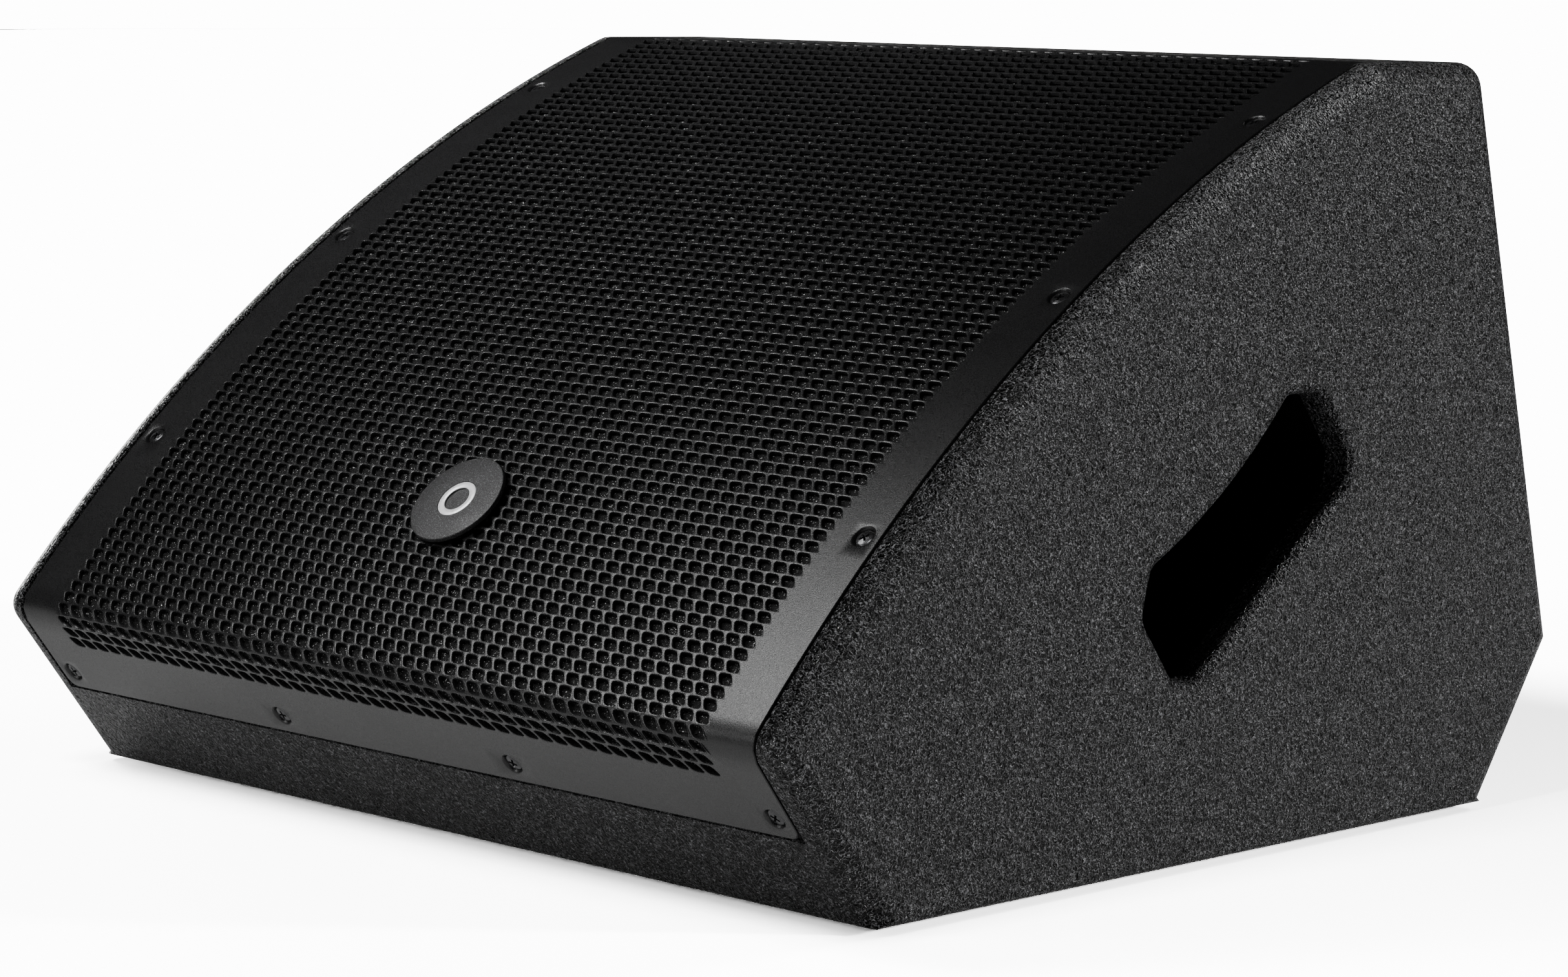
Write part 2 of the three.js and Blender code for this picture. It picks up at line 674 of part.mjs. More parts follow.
// ---------------------------------------------------------------- reflex ports and the baffle
const PORT_TUBE = [
  [PORT.bore, -PORT.length],
  [PORT.outer, -PORT.length],
  [PORT.outer, GAP],
  [PORT.flange, GAP],
  [PORT.flange, 2.5],
  [PORT.bore + 1.5, 2.5],
  [PORT.bore, 0],
];
for (const { side, sign } of SIDES) {
  const group = new THREE.Group();
  group.position.set(sign * PORT.x, PORT.along, 0);
  driverFrame.group.add(group);
  place(`port_tube_${side}`, turned(PORT_TUBE), PLASTIC, group);
}
const portHoles = SIDES.map(({ sign }) => bar(PORT.outer + GAP, -2 * PLY, 1, sign * PORT.x, PORT.along, 20));
const driverHole = bar(DRIVER.neck + 1.2, -2 * PLY, 1, 0, 0, DRIVER_SIDES);
const baffleHoles = joined(driverHole, ...portHoles, ...boltHoles);
place("baffle_board", cut(plankOf("baffle_board"), inCabinet(baffleHoles, driverFrame)), BOARD);

// ---------------------------------------------------------------- amplifier plate and its housing
const PLATE_FACE = -PLATE.sunk;
const PLATE_BACK = PLATE_FACE - PLATE.thickness;
const REBATE = 0.8;
const rebate = block(
  -PLATE.halfWidth - REBATE,
  PLATE.halfWidth + REBATE,
  -PLATE.halfHeight - REBATE,
  PLATE.halfHeight + REBATE,
  PLATE_BACK - GAP,
  1,
);
const opening = block(
  -HOUSING.halfWidth - 1,
  HOUSING.halfWidth + 1,
  -HOUSING.halfHeight - 1,
  HOUSING.halfHeight + 1,
  -2 * PLY,
  1,
);
const plateScrews = [];
for (const x of [-PLATE_SCREW.x, PLATE_SCREW.x]) {
  for (const y of [-PLATE_SCREW.y, PLATE_SCREW.y]) plateScrews.push({ x, y });
}
const plateScrewHoles = plateScrews.map(({ x, y }) => bar(PLATE_SCREW.shank + GAP, -2 * PLY, 1, x, y, 10));
const backHoles = joined(rebate, opening, ...plateScrewHoles);
place("back_board", cut(plankOf("back_board"), inCabinet(backHoles, plateFrame)), COATING);

const SOCKET = { halfWidth: 13, halfHeight: 15.5, round: 3, face: 1.8, barrel: 11.6, end: -24 };
const LATCH = { halfWidth: 4.2, low: 11, high: 14, top: 3, bottom: -1 };
const INLET = {
  halfWidth: 25,
  halfHeight: 14,
  round: 3,
  face: 2,
  bodyX: 15.5,
  bodyY: 11.5,
  roomX: 12.4,
  roomY: 8.4,
};
const SWITCH = {
  halfWidth: 11,
  halfHeight: 15,
  round: 1.5,
  face: 1.6,
  bodyX: 9.6,
  bodyY: 13,
  roomX: 7.6,
  roomY: 11.4,
};
const KNOB = { radius: 10, top: 13, shaft: 3 };
const BUTTON = { radius: 3.4, top: 3.6, bottom: -7 };
const LAMP_RADIUS = 2.4;
const SEAT = PLATE_FACE + GAP; // underside of what stands on the plate

const around = ({ x, y }, halfX, halfY, z0, z1) => block(x - halfX, x + halfX, y - halfY, y + halfY, z0, z1);
const hole = ({ x, y }, radius) => bar(radius + 0.6, PLATE_BACK - 1, 1, x, y, 20);
const LATCH_PLAY = 0.4;
function latchRoom({ x, y }, z0) {
  const half = LATCH.halfWidth + LATCH_PLAY;
  return block(x - half, x + half, y + LATCH.low - LATCH_PLAY, y + LATCH.high + LATCH_PLAY, z0, 4);
}
const plateHoles = [
  hole(LAYOUT.input, SOCKET.barrel),
  hole(LAYOUT.link, SOCKET.barrel),
  hole(LAYOUT.knob, KNOB.shaft),
  hole(LAYOUT.button, BUTTON.radius),
  hole(LAYOUT.lamp, LAMP_RADIUS),
  latchRoom(LAYOUT.input, PLATE_BACK - 1),
  around(LAYOUT.inlet, INLET.bodyX + 0.5, INLET.bodyY + 0.5, PLATE_BACK - 1, 1),
  around(LAYOUT.rocker, SWITCH.bodyX + 0.5, SWITCH.bodyY + 0.5, PLATE_BACK - 1, 1),
  ...plateScrewHoles,
];
const fins = Array.from({ length: FIN.count }, (_, i) => {
  const x = FIN.first + i * FIN.pitch;
  const { halfThickness, halfLength, height } = FIN;
  return block(x - halfThickness, x + halfThickness, -halfLength, halfLength, PLATE_FACE - 1, height);
});
const plateSheet = upright(roundedRect(PLATE.halfWidth, PLATE.halfHeight, PLATE.round), PLATE_BACK, PLATE_FACE, 2);
place("amp_plate", joined(cut(plateSheet, ...plateHoles), ...fins), CAST, plateFrame.group);

const housingShell = block(
  -HOUSING.halfWidth,
  HOUSING.halfWidth,
  -HOUSING.halfHeight,
  HOUSING.halfHeight,
  -HOUSING.depth,
  PLATE_BACK - GAP,
);
const housingRoom = block(
  -HOUSING.halfWidth + HOUSING.wall,
  HOUSING.halfWidth - HOUSING.wall,
  -HOUSING.halfHeight + HOUSING.wall,
  HOUSING.halfHeight - HOUSING.wall,
  -HOUSING.depth + HOUSING.wall,
  0,
);
place("amp_housing", cut(housingShell, housingRoom), STEEL, plateFrame.group);

const BOARD_LOW = -52;
const BOARD_FACE = -50.4;
const circuit = (x0, x1) => block(x0, x1, -56, 56, BOARD_LOW, BOARD_FACE);
const capacitor = (x, y, radius, top) => bar(radius, BOARD_FACE - 0.5, top, x, y, 14);
const outputBoard = joined(
  circuit(-108, -6),
  block(-100, -86, -48, 48, BOARD_FACE - 0.5, -30),
  block(-70, -44, -44, -18, BOARD_FACE - 0.5, -32),
  capacitor(-60, 10, 10, -30),
  capacitor(-60, 36, 10, -30),
  capacitor(-30, 24, 7, -34),
);
place("amplifier_board", outputBoard, CIRCUIT, plateFrame.group);
const supplyBoard = joined(
  circuit(6, 108),
  block(34, 74, -36, 6, BOARD_FACE - 0.5, -28),
  capacitor(22, 32, 9, -28),
  capacitor(46, 32, 9, -28),
  capacitor(92, 34, 8, -30),
);
place("power_supply_board", supplyBoard, CIRCUIT, plateFrame.group);

plateScrews.forEach(({ x, y }, i) => {
  const head = bar(PLATE_SCREW.head, SEAT, SEAT + 1.8, x, y, 12);
  const shank = bar(PLATE_SCREW.shank, -PLATE_SCREW.length, SEAT + 0.5, x, y, 10);
  place(`plate_screw_${i + 1}`, head.add(shank), SCREW_BLACK, plateFrame.group);
});

// ---------------------------------------------------------------- sockets and controls
function socketBody({ x, y }) {
  const face = roundedRect(SOCKET.halfWidth, SOCKET.halfHeight, SOCKET.round, x, y);
  return upright(face, SEAT, SOCKET.face, 2).add(bar(SOCKET.barrel, SOCKET.end, SOCKET.face - 0.5, x, y, 20));
}
const SLOT = { inner: 7.6, outer: 9.7, floor: -14 };
const CONTACT = { radius: 1.6, circle: 3.8, floor: -12 };
function inputSocket({ x, y }) {
  const slot = turned([
    [SLOT.inner, SLOT.floor],
    [SLOT.outer, SLOT.floor],
    [SLOT.outer, 4],
    [SLOT.inner, 4],
  ]).translate([x, y, 0]);
  const contacts = [90, 210, 330].map((degrees) => {
    const angle = THREE.MathUtils.degToRad(degrees);
    const spot = { x: x + CONTACT.circle * Math.cos(angle), y: y + CONTACT.circle * Math.sin(angle) };
    return bar(CONTACT.radius, CONTACT.floor, 4, spot.x, spot.y, 8);
  });
  return cut(socketBody({ x, y }), slot, ...contacts, latchRoom({ x, y }, -6));
}
const LINK_ROOM = { radius: 9.6, floor: -13 };
const linkRoom = bar(LINK_ROOM.radius, LINK_ROOM.floor, 4, LAYOUT.link.x, LAYOUT.link.y, 20);
place("input_socket", inputSocket(LAYOUT.input), PLASTIC, plateFrame.group);
place("link_socket", cut(socketBody(LAYOUT.link), linkRoom), PLASTIC, plateFrame.group);
const latch = block(
  LAYOUT.input.x - LATCH.halfWidth,
  LAYOUT.input.x + LATCH.halfWidth,
  LAYOUT.input.y + LATCH.low,
  LAYOUT.input.y + LATCH.high,
  LATCH.bottom,
  LATCH.top,
);
place("socket_release_tab", latch, STEEL, plateFrame.group);

const KNOB_PROFILE = [
  [0, -8],
  [KNOB.shaft, -8],
  [KNOB.shaft, SEAT + 1],
  [KNOB.radius, SEAT + 1],
  [KNOB.radius * 0.92, KNOB.top - 1],
  [KNOB.radius * 0.82, KNOB.top],
  [0, KNOB.top],
];
const pointer = block(-0.7, 0.7, KNOB.radius * 0.3, KNOB.radius, KNOB.top - 0.8, KNOB.top + 1);
const knob = cut(turned(KNOB_PROFILE), pointer).translate([LAYOUT.knob.x, LAYOUT.knob.y, 0]);
place("level_knob", knob, PLASTIC, plateFrame.group);

const button = bar(BUTTON.radius, BUTTON.bottom, BUTTON.top, LAYOUT.button.x, LAYOUT.button.y, 16);
place("mode_button", button, PLASTIC, plateFrame.group);

const LENS = [
  [0, -5],
  [LAMP_RADIUS, -5],
  [LAMP_RADIUS, 0.4],
  [LAMP_RADIUS * 0.7, 1.6],
  [0, 2],
];
place("status_lamp", turned(LENS, 12).translate([LAYOUT.lamp.x, LAYOUT.lamp.y, 0]), LAMP, plateFrame.group);

function framedBody(sizes, { x, y }, end, floor) {
  const face = upright(roundedRect(sizes.halfWidth, sizes.halfHeight, sizes.round, x, y), SEAT, sizes.face, 2);
  const body = around({ x, y }, sizes.bodyX, sizes.bodyY, end, sizes.face - 0.5);
  return cut(face.add(body), around({ x, y }, sizes.roomX, sizes.roomY, floor, 4));
}
place("mains_inlet", framedBody(INLET, LAYOUT.inlet, -22, -15), PLASTIC, plateFrame.group);
place("rocker_frame", framedBody(SWITCH, LAYOUT.rocker, -16, -8), PLASTIC, plateFrame.group);

// The paddle tilts about a pin along x; its two ends are cranked up from the middle.
const PADDLE = { halfLength: 10, halfWidth: 7.1, pivotZ: -1, end: 3.6, middle: 2.4, foot: -2.5, belly: -5 };
const tilt = THREE.MathUtils.degToRad(ROCKER_TILT);
const paddleOutline = [
  [-PADDLE.halfLength, PADDLE.foot],
  [0, PADDLE.belly],
  [PADDLE.halfLength, PADDLE.foot],
  [PADDLE.halfLength, PADDLE.end],
  [0, PADDLE.middle],
  [-PADDLE.halfLength, PADDLE.end],
].map(([y, z]) => vec(y, z).rotateAround(ORIGIN, -tilt).add(vec(LAYOUT.rocker.y, PADDLE.pivotZ)));
const paddle = across(
  shapeOf(paddleOutline),
  LAYOUT.rocker.x - PADDLE.halfWidth,
  LAYOUT.rocker.x + PADDLE.halfWidth,
);
place("rocker_paddle", paddle, PLASTIC, plateFrame.group);

// ---------------------------------------------------------------- feet
const FOOT_PROFILE = [
  [0, -FOOT_HEIGHT],
  [FOOT.radius - 1, -FOOT_HEIGHT],
  [FOOT.radius, -FOOT_HEIGHT + 1],
  [FOOT.radius, -GAP],
  [0, -GAP],
];
for (const y of FOOT.y) {
  for (const { side, sign } of SIDES) {
    const end = y === FOOT.y[0] ? "front" : "rear";
    place(`foot_${end}_${side}`, turned(FOOT_PROFILE, 16).translate([sign * FOOT.x, y, 0]), RUBBER);
  }
}

// ---------------------------------------------------------------- origin under the middle
const box = new THREE.Box3().setFromObject(cabinet);
cabinet.position.set(0, -(box.min.y + box.max.y) / 2, -box.min.z);

export default root;
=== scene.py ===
"""Stage monitor wedge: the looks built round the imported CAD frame.

Shapes are drawn in millimetres in the cabinet's profile frame: x across, y and z from the front
bottom edge. They are written in the row frame, in metres.
"""

import json
import math

import bmesh
import bpy
from mathutils import Matrix, Vector, noise
from mathutils.geometry import tessellate_polygon


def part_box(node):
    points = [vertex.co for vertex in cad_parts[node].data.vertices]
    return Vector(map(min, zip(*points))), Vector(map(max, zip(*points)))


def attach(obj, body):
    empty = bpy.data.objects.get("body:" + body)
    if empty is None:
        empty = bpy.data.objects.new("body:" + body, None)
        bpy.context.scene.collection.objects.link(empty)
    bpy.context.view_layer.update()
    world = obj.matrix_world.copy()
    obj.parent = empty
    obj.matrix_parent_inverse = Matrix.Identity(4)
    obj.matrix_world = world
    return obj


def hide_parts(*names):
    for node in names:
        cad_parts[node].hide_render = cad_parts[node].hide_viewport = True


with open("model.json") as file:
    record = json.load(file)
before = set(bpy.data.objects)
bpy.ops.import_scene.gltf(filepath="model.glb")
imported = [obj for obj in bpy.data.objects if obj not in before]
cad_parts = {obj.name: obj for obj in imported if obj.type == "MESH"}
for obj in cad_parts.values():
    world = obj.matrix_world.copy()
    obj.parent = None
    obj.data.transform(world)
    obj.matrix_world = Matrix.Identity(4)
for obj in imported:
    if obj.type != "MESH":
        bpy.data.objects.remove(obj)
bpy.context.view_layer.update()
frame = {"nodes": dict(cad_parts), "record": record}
scene = bpy.context.scene

# ---- dimensions, as in the CAD part
WIDTH = 450
HEIGHT = 300
FOOT_HEIGHT = 3
BOTTOM_DEPTH = 360.5
REAR_CORNER = (404.1, 63)
TOP_BACK_Y = 344.2
KICK_LEAN = 0.76
FRONT_CENTRE = Vector((559.3, -453.2))
FRONT_RADIUS = 804.5
EDGE_ROUND = 10
BOTTOM_EDGE_ROUND = 3
NOSE_ROUND = 9.5
TOP_BEND_ROUND = 10
TOP_BACK_ROUND = 11
REAR_CORNER_ROUND = 4
LOW_CORNER_ROUND = 2.5
EDGE_GAP = 1
SIDE_PLY = 12
PLY = 15
INNER_X = WIDTH / 2 - SIDE_PLY
SHEET = {"thickness": 1.5, "half_width": 211.5, "edge_z": 33.2, "end_y": 294.8}
SHEET_SEAT = 0.3
SHEET_ROOM = SHEET["thickness"] + SHEET_SEAT
TOP_BOARD_FRONT_Y = 283
BAFFLE_DEPTH = 25
FRONT_FOOT_Y = 52

foot_low, foot_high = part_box("foot_front_right")
SHIFT_Y = (foot_low.y + foot_high.y) / 2 * 1000 - FRONT_FOOT_Y


def row(x, y, z):
    """A point of the profile frame, in the row frame."""
    return Vector((x, y + SHIFT_Y, z + FOOT_HEIGHT)) / 1000


# ---- profile of the cabinet
def left_of(v):
    """The vector turned a quarter turn to its left."""
    return Vector((-v.y, v.x))


class Line:
    """A line with the cabinet's inside on its left."""

    def __init__(self, point, along):
        self.point = Vector(point)
        self.along = Vector(along).normalized()

    @property
    def out(self):
        return -left_of(self.along)

    def inward(self, depth):
        return Line(self.point + left_of(self.along) * depth, self.along)

    def at(self, distance):
        return self.point + self.along * distance

    def meet(self, other):
        between = other.point - self.point
        cross = self.along.x * other.along.y - self.along.y * other.along.x
        return self.at((between.x * other.along.y - between.y * other.along.x) / cross)

    def meet_front(self, radius, side):
        to_point = self.point - FRONT_CENTRE
        half = to_point.dot(self.along)
        reach = math.sqrt(half * half - to_point.length_squared + radius * radius)
        return self.at(side * reach - half)


def line_through(a, b):
    return Line(a, Vector(b) - Vector(a))


KICK = line_through((-KICK_LEAN * HEIGHT, HEIGHT), (0, 0))
BOTTOM = line_through((0, 0), (BOTTOM_DEPTH, 0))
BEVEL = line_through((BOTTOM_DEPTH, 0), REAR_CORNER)
BACK = line_through(REAR_CORNER, (TOP_BACK_Y, HEIGHT))
TOP = line_through((TOP_BACK_Y, HEIGHT), (0, HEIGHT))
CHORD = line_through(TOP.meet_front(FRONT_RADIUS, 1), KICK.meet_front(FRONT_RADIUS, -1))
BAFFLE = CHORD.inward(BAFFLE_DEPTH)


def angle_of(v):
    return math.atan2(v.y, v.x)


def arc(centre, radius, a0, a1, steps):
    return [centre + radius * Vector((math.cos(a), math.sin(a))) for a in spread(a0, a1, steps)]


def spread(a, b, steps):
    return [a + (b - a) * i / steps for i in range(steps + 1)]


def corner(before, after, radius, steps=8):
    centre = before.inward(radius).meet(after.inward(radius))
    a0 = angle_of(before.out)
    sweep = (angle_of(after.out) - a0) % (2 * math.pi)
    return arc(centre, radius, a0, a0 + sweep, steps)


SMALLEST = 0.25
FRONT_STEPS = 72


def outline(wide=0.0, low=0.0):
    """The cheek's outline with its bottom edge moved in by low and the others by wide.

    Returns points and, for each, 1 on a wide-rounded edge and 0 on the bottom one.
    """
    kick, bottom, bevel = KICK.inward(wide), BOTTOM.inward(low), BEVEL.inward(wide)
    back, top = BACK.inward(wide), TOP.inward(wide)
    radius = FRONT_RADIUS - wide
    bend, nose = max(TOP_BEND_ROUND - wide, SMALLEST), max(NOSE_ROUND - wide, SMALLEST)
    bend_centre = top.inward(bend).meet_front(radius - bend, 1)
    nose_centre = kick.inward(nose).meet_front(radius - nose, -1)
    low_round = max(LOW_CORNER_ROUND - low, SMALLEST)
    points, weights = [], []

    def add(run, w0=1.0, w1=1.0):
        points.extend(run)
        weights.extend(spread(w0, w1, len(run) - 1))

    add(corner(kick, bottom, low_round), 1, 0)
    add(corner(bottom, bevel, low_round), 0, 1)
    add(corner(bevel, back, max(REAR_CORNER_ROUND - wide, SMALLEST)))
    add(corner(back, top, max(TOP_BACK_ROUND - wide, SMALLEST)))
    to_bend, to_nose = angle_of(bend_centre - FRONT_CENTRE), angle_of(nose_centre - FRONT_CENTRE)
    add(arc(bend_centre, bend, math.pi / 2, to_bend, 10))
    add(arc(FRONT_CENTRE, radius, to_bend, to_nose, FRONT_STEPS)[1:-1])
    add(arc(nose_centre, nose, to_nose, angle_of(kick.out) % (2 * math.pi), 12))
    return points, weights


# ---- meshes
WELD_DISTANCE = 2e-6
SMALLEST_EDGE = 1e-7
SHARP_ANGLE = 30.0
LEAST_ROUND = 0.2


class Shape:
    """Collects points in millimetres and faces, then makes one object."""

    def __init__(self):
        self.points = []
        self.faces = []

    def ring(self, points):
        start = len(self.points)
        self.points.extend(Vector(p) for p in points)
        return list(range(start, len(self.points)))

    def bridge(self, a, b, closed=True):
        n = len(a)
        for i in range(n if closed else n - 1):
            j = (i + 1) % n
            self.faces.append((a[i], a[j], b[j], b[i]))

    def loft(self, rings, closed=True):
        made = [self.ring(r) for r in rings]
        for a, b in zip(made, made[1:]):
            self.bridge(a, b, closed)
        return made

    def fill(self, *loops):
        flat = [i for loop in loops for i in loop]
        for face in tessellate_polygon([[self.points[i] for i in loop] for loop in loops]):
            self.faces.append(tuple(flat[i] for i in face))

    def cap(self, loop):
        self.faces.append(tuple(loop))

    def fan(self, loop, tip):
        centre = self.ring([tip])[0]
        for i, a in enumerate(loop):
            self.faces.append((a, loop[(i + 1) % len(loop)], centre))

    def stitch(self, outer, inner, centre):
        """Triangles between two loops round a centre, taken in the order of their angles (x, y only)."""

        def by_angle(loop):
            offsets = [(self.points[i].x - centre[0], self.points[i].y - centre[1]) for i in loop]
            return sorted((math.atan2(dy, dx), i) for (dx, dy), i in zip(offsets, loop))

        a, b = by_angle(outer), by_angle(inner)
        i = j = 0
        turn = 2 * math.pi
        while i < len(a) or j < len(b):
            a_next = a[(i + 1) % len(a)][0] + turn * ((i + 1) // len(a))
            b_next = b[(j + 1) % len(b)][0] + turn * ((j + 1) // len(b))
            a_now, b_now = a[i % len(a)][1], b[j % len(b)][1]
            if j >= len(b) or (i < len(a) and a_next <= b_next):
                self.faces.append((a_now, a[(i + 1) % len(a)][1], b_now))
                i += 1
            else:
                self.faces.append((a_now, b[(j + 1) % len(b)][1], b_now))
                j += 1

    def make(self, name, material, place=row, sharp=SHARP_ANGLE, weld=True):
        mesh = bpy.data.meshes.new(name)
        mesh.from_pydata([tuple(place(*p)) for p in self.points], [], self.faces)
        obj = bpy.data.objects.new(name, mesh)
        scene.collection.objects.link(obj)
        finish_mesh(obj, sharp, weld)
        mesh.materials.append(material)
        return obj


def shade(obj, sharp):
    """Smooth shading with edges sharper than an angle in degrees kept sharp."""
    obj.data.shade_smooth()
    obj.data.set_sharp_from_angle(angle=math.radians(sharp))


def finish_mesh(obj, sharp, weld):
    bm = bmesh.new()
    bm.from_mesh(obj.data)
    if weld:
        bmesh.ops.remove_doubles(bm, verts=bm.verts, dist=WELD_DISTANCE)
        bmesh.ops.dissolve_degenerate(bm, edges=bm.edges, dist=SMALLEST_EDGE)
    bmesh.ops.recalc_face_normals(bm, faces=bm.faces)
    bm.to_mesh(obj.data)
    bm.free()
    shade(obj, sharp)


def applied(obj):
    """Replaces the object's mesh with what its modifiers make of it."""
    graph = bpy.context.evaluated_depsgraph_get()
    mesh = bpy.data.meshes.new_from_object(obj.evaluated_get(graph))
    obj.modifiers.clear()
    old = obj.data
    obj.data = mesh
    bpy.data.meshes.remove(old)


def cut_away(obj, cutter):
    """Takes the cutter's volume out of the object and removes the cutter."""
    modifier = obj.modifiers.new("cut", "BOOLEAN")
    modifier.operation = "DIFFERENCE"
    modifier.solver = "EXACT"
    modifier.object = cutter
    applied(obj)
    bpy.data.objects.remove(cutter)
    shade(obj, SHARP_ANGLE)


def prism(points, x0, x1):
    """A closed prism from a (y, z) polygon, between x0 and x1."""
    shape = Shape()
    near, far = shape.loft([[(x, p[0], p[1]) for p in points] for x in (x0, x1)])
    shape.fill(near)
    shape.fill(far)
    return shape


def lathe(profile, sides):
    """Turns (radius, z) pairs about z: a solid if they start and end on the axis, or else a ring."""
    shape = Shape()
    angles = [2 * math.pi * k / sides for k in range(sides)]
    loops = []
    for radius, z in profile:
        if radius > 0:
            loops.append(shape.ring([(radius * math.cos(a), radius * math.sin(a), z) for a in angles]))
    for a, b in zip(loops, loops[1:]):
        shape.bridge(a, b)
    if profile[0][0] > 0:
        shape.bridge(loops[-1], loops[0])
    else:
        shape.fan(loops[0], (0, 0, profile[0][1]))
        shape.fan(loops[-1], (0, 0, profile[-1][1]))
    return shape


def circle_points(radius, x=0.0, y=0.0, sides=40):
    return arc(Vector((x, y)), radius, 0, 2 * math.pi * (1 - 1 / sides), sides - 1)


def rounded_rect(half_x, half_y, radius, x=0.0, y=0.0, steps=6):
    points = []
    for cx, cy, a in ((1, 1, 0), (-1, 1, 1), (-1, -1, 2), (1, -1, 3)):
        centre = Vector((x + cx * (half_x - radius), y + cy * (half_y - radius)))
        points += arc(centre, radius, a * math.pi / 2, (a + 1) * math.pi / 2, steps)
    return points


def slab(rings):
    """A closed solid lofted through rings of (points, z)."""
    shape = Shape()
    made = shape.loft([[(p[0], p[1], z) for p in points] for points, z in rings])
    shape.fill(made[0])
    shape.fill(made[-1])
    return shape


def plate_rings(half_x, half_y, radius, z0, z1, edge, x=0.0, y=0.0):
    """A rounded rectangle with a small round on its upper edge."""
    rings = [(rounded_rect(half_x, half_y, radius, x, y), z0)]
    for a in spread(0, math.pi / 2, 4):
        inset = edge * (1 - math.cos(a))
        points = rounded_rect(half_x - inset, half_y - inset, max(radius - inset, LEAST_ROUND), x, y)
        rings.append((points, z1 - edge * (1 - math.sin(a))))
    return rings


# ---- materials
class Finish:
    """A node material with object-space textures, in metres."""

    def __init__(self, name, roughness=0.5, metallic=0.0, specular=0.5):
        self.material = bpy.data.materials.new(name)
        self.material.use_nodes = True
        self.tree = self.material.node_tree
        self.shader = self.tree.nodes["Principled BSDF"]
        self.shader.inputs["Roughness"].default_value = roughness
        self.shader.inputs["Metallic"].default_value = metallic
        self.shader.inputs["Specular IOR Level"].default_value = specular
        self.coords = self.tree.nodes.new("ShaderNodeTexCoord").outputs["Object"]

    def link(self, a, b):
        self.tree.links.new(a, b)

    def node(self, kind, output, inputs):
        """Adds a node, sets or links its inputs and returns the node and one output."""
        node = self.tree.nodes.new("ShaderNode" + kind)
        for key, value in inputs.items():
            if isinstance(value, bpy.types.NodeSocket):
                self.link(value, node.inputs[key])
            else:
                node.inputs[key].default_value = value
        return node, node.outputs[output]

    def noise(self, scale, detail=3.0, roughness=0.6, distortion=0.0, coords=None):
        return self.node("TexNoise", "Fac", {
            "Scale": scale, "Detail": detail, "Roughness": roughness, "Distortion": distortion,
            "Vector": coords or self.coords,
        })[1]

    def cells(self, scale, feature="F1"):
        node, distance = self.node("TexVoronoi", "Distance", {"Scale": scale, "Vector": self.coords})
        node.feature = feature
        return distance

    def stretched(self, x, y, z):
        return self.node("Mapping", "Vector", {"Scale": (x, y, z), "Vector": self.coords})[1]

    def levels(self, value, low, high, to_low=0.0, to_high=1.0):
        return self.node("MapRange", "Result", {
            "Value": value, "From Min": low, "From Max": high, "To Min": to_low, "To Max": to_high,
        })[1]

    def math(self, operation, a, b):
        node, result = self.node("Math", "Value", {0: a, 1: b})
        node.operation = operation
        return result

    def colour(self, value, stops):
        node, colour = self.node("ValToRGB", "Color", {"Fac": value})
        while len(node.color_ramp.elements) < len(stops):
            node.color_ramp.elements.new(0.5)
        for element, (position, rgb) in zip(node.color_ramp.elements, stops):
            element.position = position
            element.color = (*rgb, 1)
        self.link(colour, self.shader.inputs["Base Color"])

    def rough(self, value, low, high):
        self.link(self.levels(value, 0.3, 0.7, low, high), self.shader.inputs["Roughness"])

    def bump(self, height, distance, after=None):
        inputs = {"Distance": distance, "Strength": 1.0, "Height": height}
        if after is not None:
            inputs["Normal"] = after
        normal = self.node("Bump", "Normal", inputs)[1]
        self.link(normal, self.shader.inputs["Normal"])
        return normal


COOL = (1, 1, 1.05)


def grey(value, tint=(1, 1, 1)):
    return tuple(value * t for t in tint)


def coating():
    """Textured paint: black, with pale threads in its colour that are painted glints on the grain's ridges;
    glossier where the grain stands up.
    """
    finish = Finish("textured_coating", roughness=0.24, specular=0.18)
    worms = finish.noise(740, detail=1.5, roughness=0.5, distortion=0.8)
    glint_threads = finish.noise(620, detail=1, distortion=0.7)
    glint_threads = finish.math("ABSOLUTE", finish.math("SUBTRACT", glint_threads, 0.5), 0)
    clumps = finish.noise(240, detail=1)
    # The pale thread lines in the base colour are painted glints on the ridges of the grain.
    finish.colour(glint_threads, [(0.0, grey(0.25, COOL)), (0.025, grey(0.045)), (0.05, grey(0.0003))])
    dull = finish.levels(worms, 0.46, 0.56, 0.30, 0.11)
    mottle = finish.levels(clumps, 0.35, 0.65, 0.75, 1.3)
    finish.link(finish.math("MULTIPLY", dull, mottle), finish.shader.inputs["Roughness"])
    height = finish.math("SUBTRACT", worms, finish.math("MULTIPLY", glint_threads, 0.9))
    finish.bump(height, 0.0030)
    return finish.material


def powder_coat(name, base=0.012, rough=0.36, metallic=0.0, grain=0.00004, specular=0.5):
    finish = Finish(name, roughness=rough, metallic=metallic, specular=specular)
    fine = finish.noise(2300, detail=2, roughness=0.7)
    broad = finish.noise(30, detail=2)
    finish.colour(fine, [(0.3, grey(base * 0.7)), (0.7, grey(base * 1.4, COOL))])
    speckle = finish.math("ADD", finish.math("MULTIPLY", fine, 0.8), finish.math("MULTIPLY", broad, 0.2))
    finish.rough(speckle, rough - 0.09, rough + 0.09)
    finish.bump(fine, grain)
    return finish.material


def foam():
    """Open foam: black, with small bright glints that are painted into its colour on spots that are also
    glossier.
    """
    finish = Finish("open_foam", roughness=0.85, specular=0.3)
    strands = finish.cells(1100, "DISTANCE_TO_EDGE")
    fine = finish.noise(1500, detail=1, roughness=0.7)
    # The bright spots in the base colour are painted glints; the same spots are also given low roughness.
    finish.colour(fine, [(0.40, grey(0.001)), (0.66, grey(0.004)), (0.71, grey(0.7))])
    finish.link(finish.levels(fine, 0.60, 0.68, 0.85, 0.2), finish.shader.inputs["Roughness"])
    first = finish.bump(strands, 0.0009)
    finish.bump(fine, 0.0012, after=first)
    return finish.material


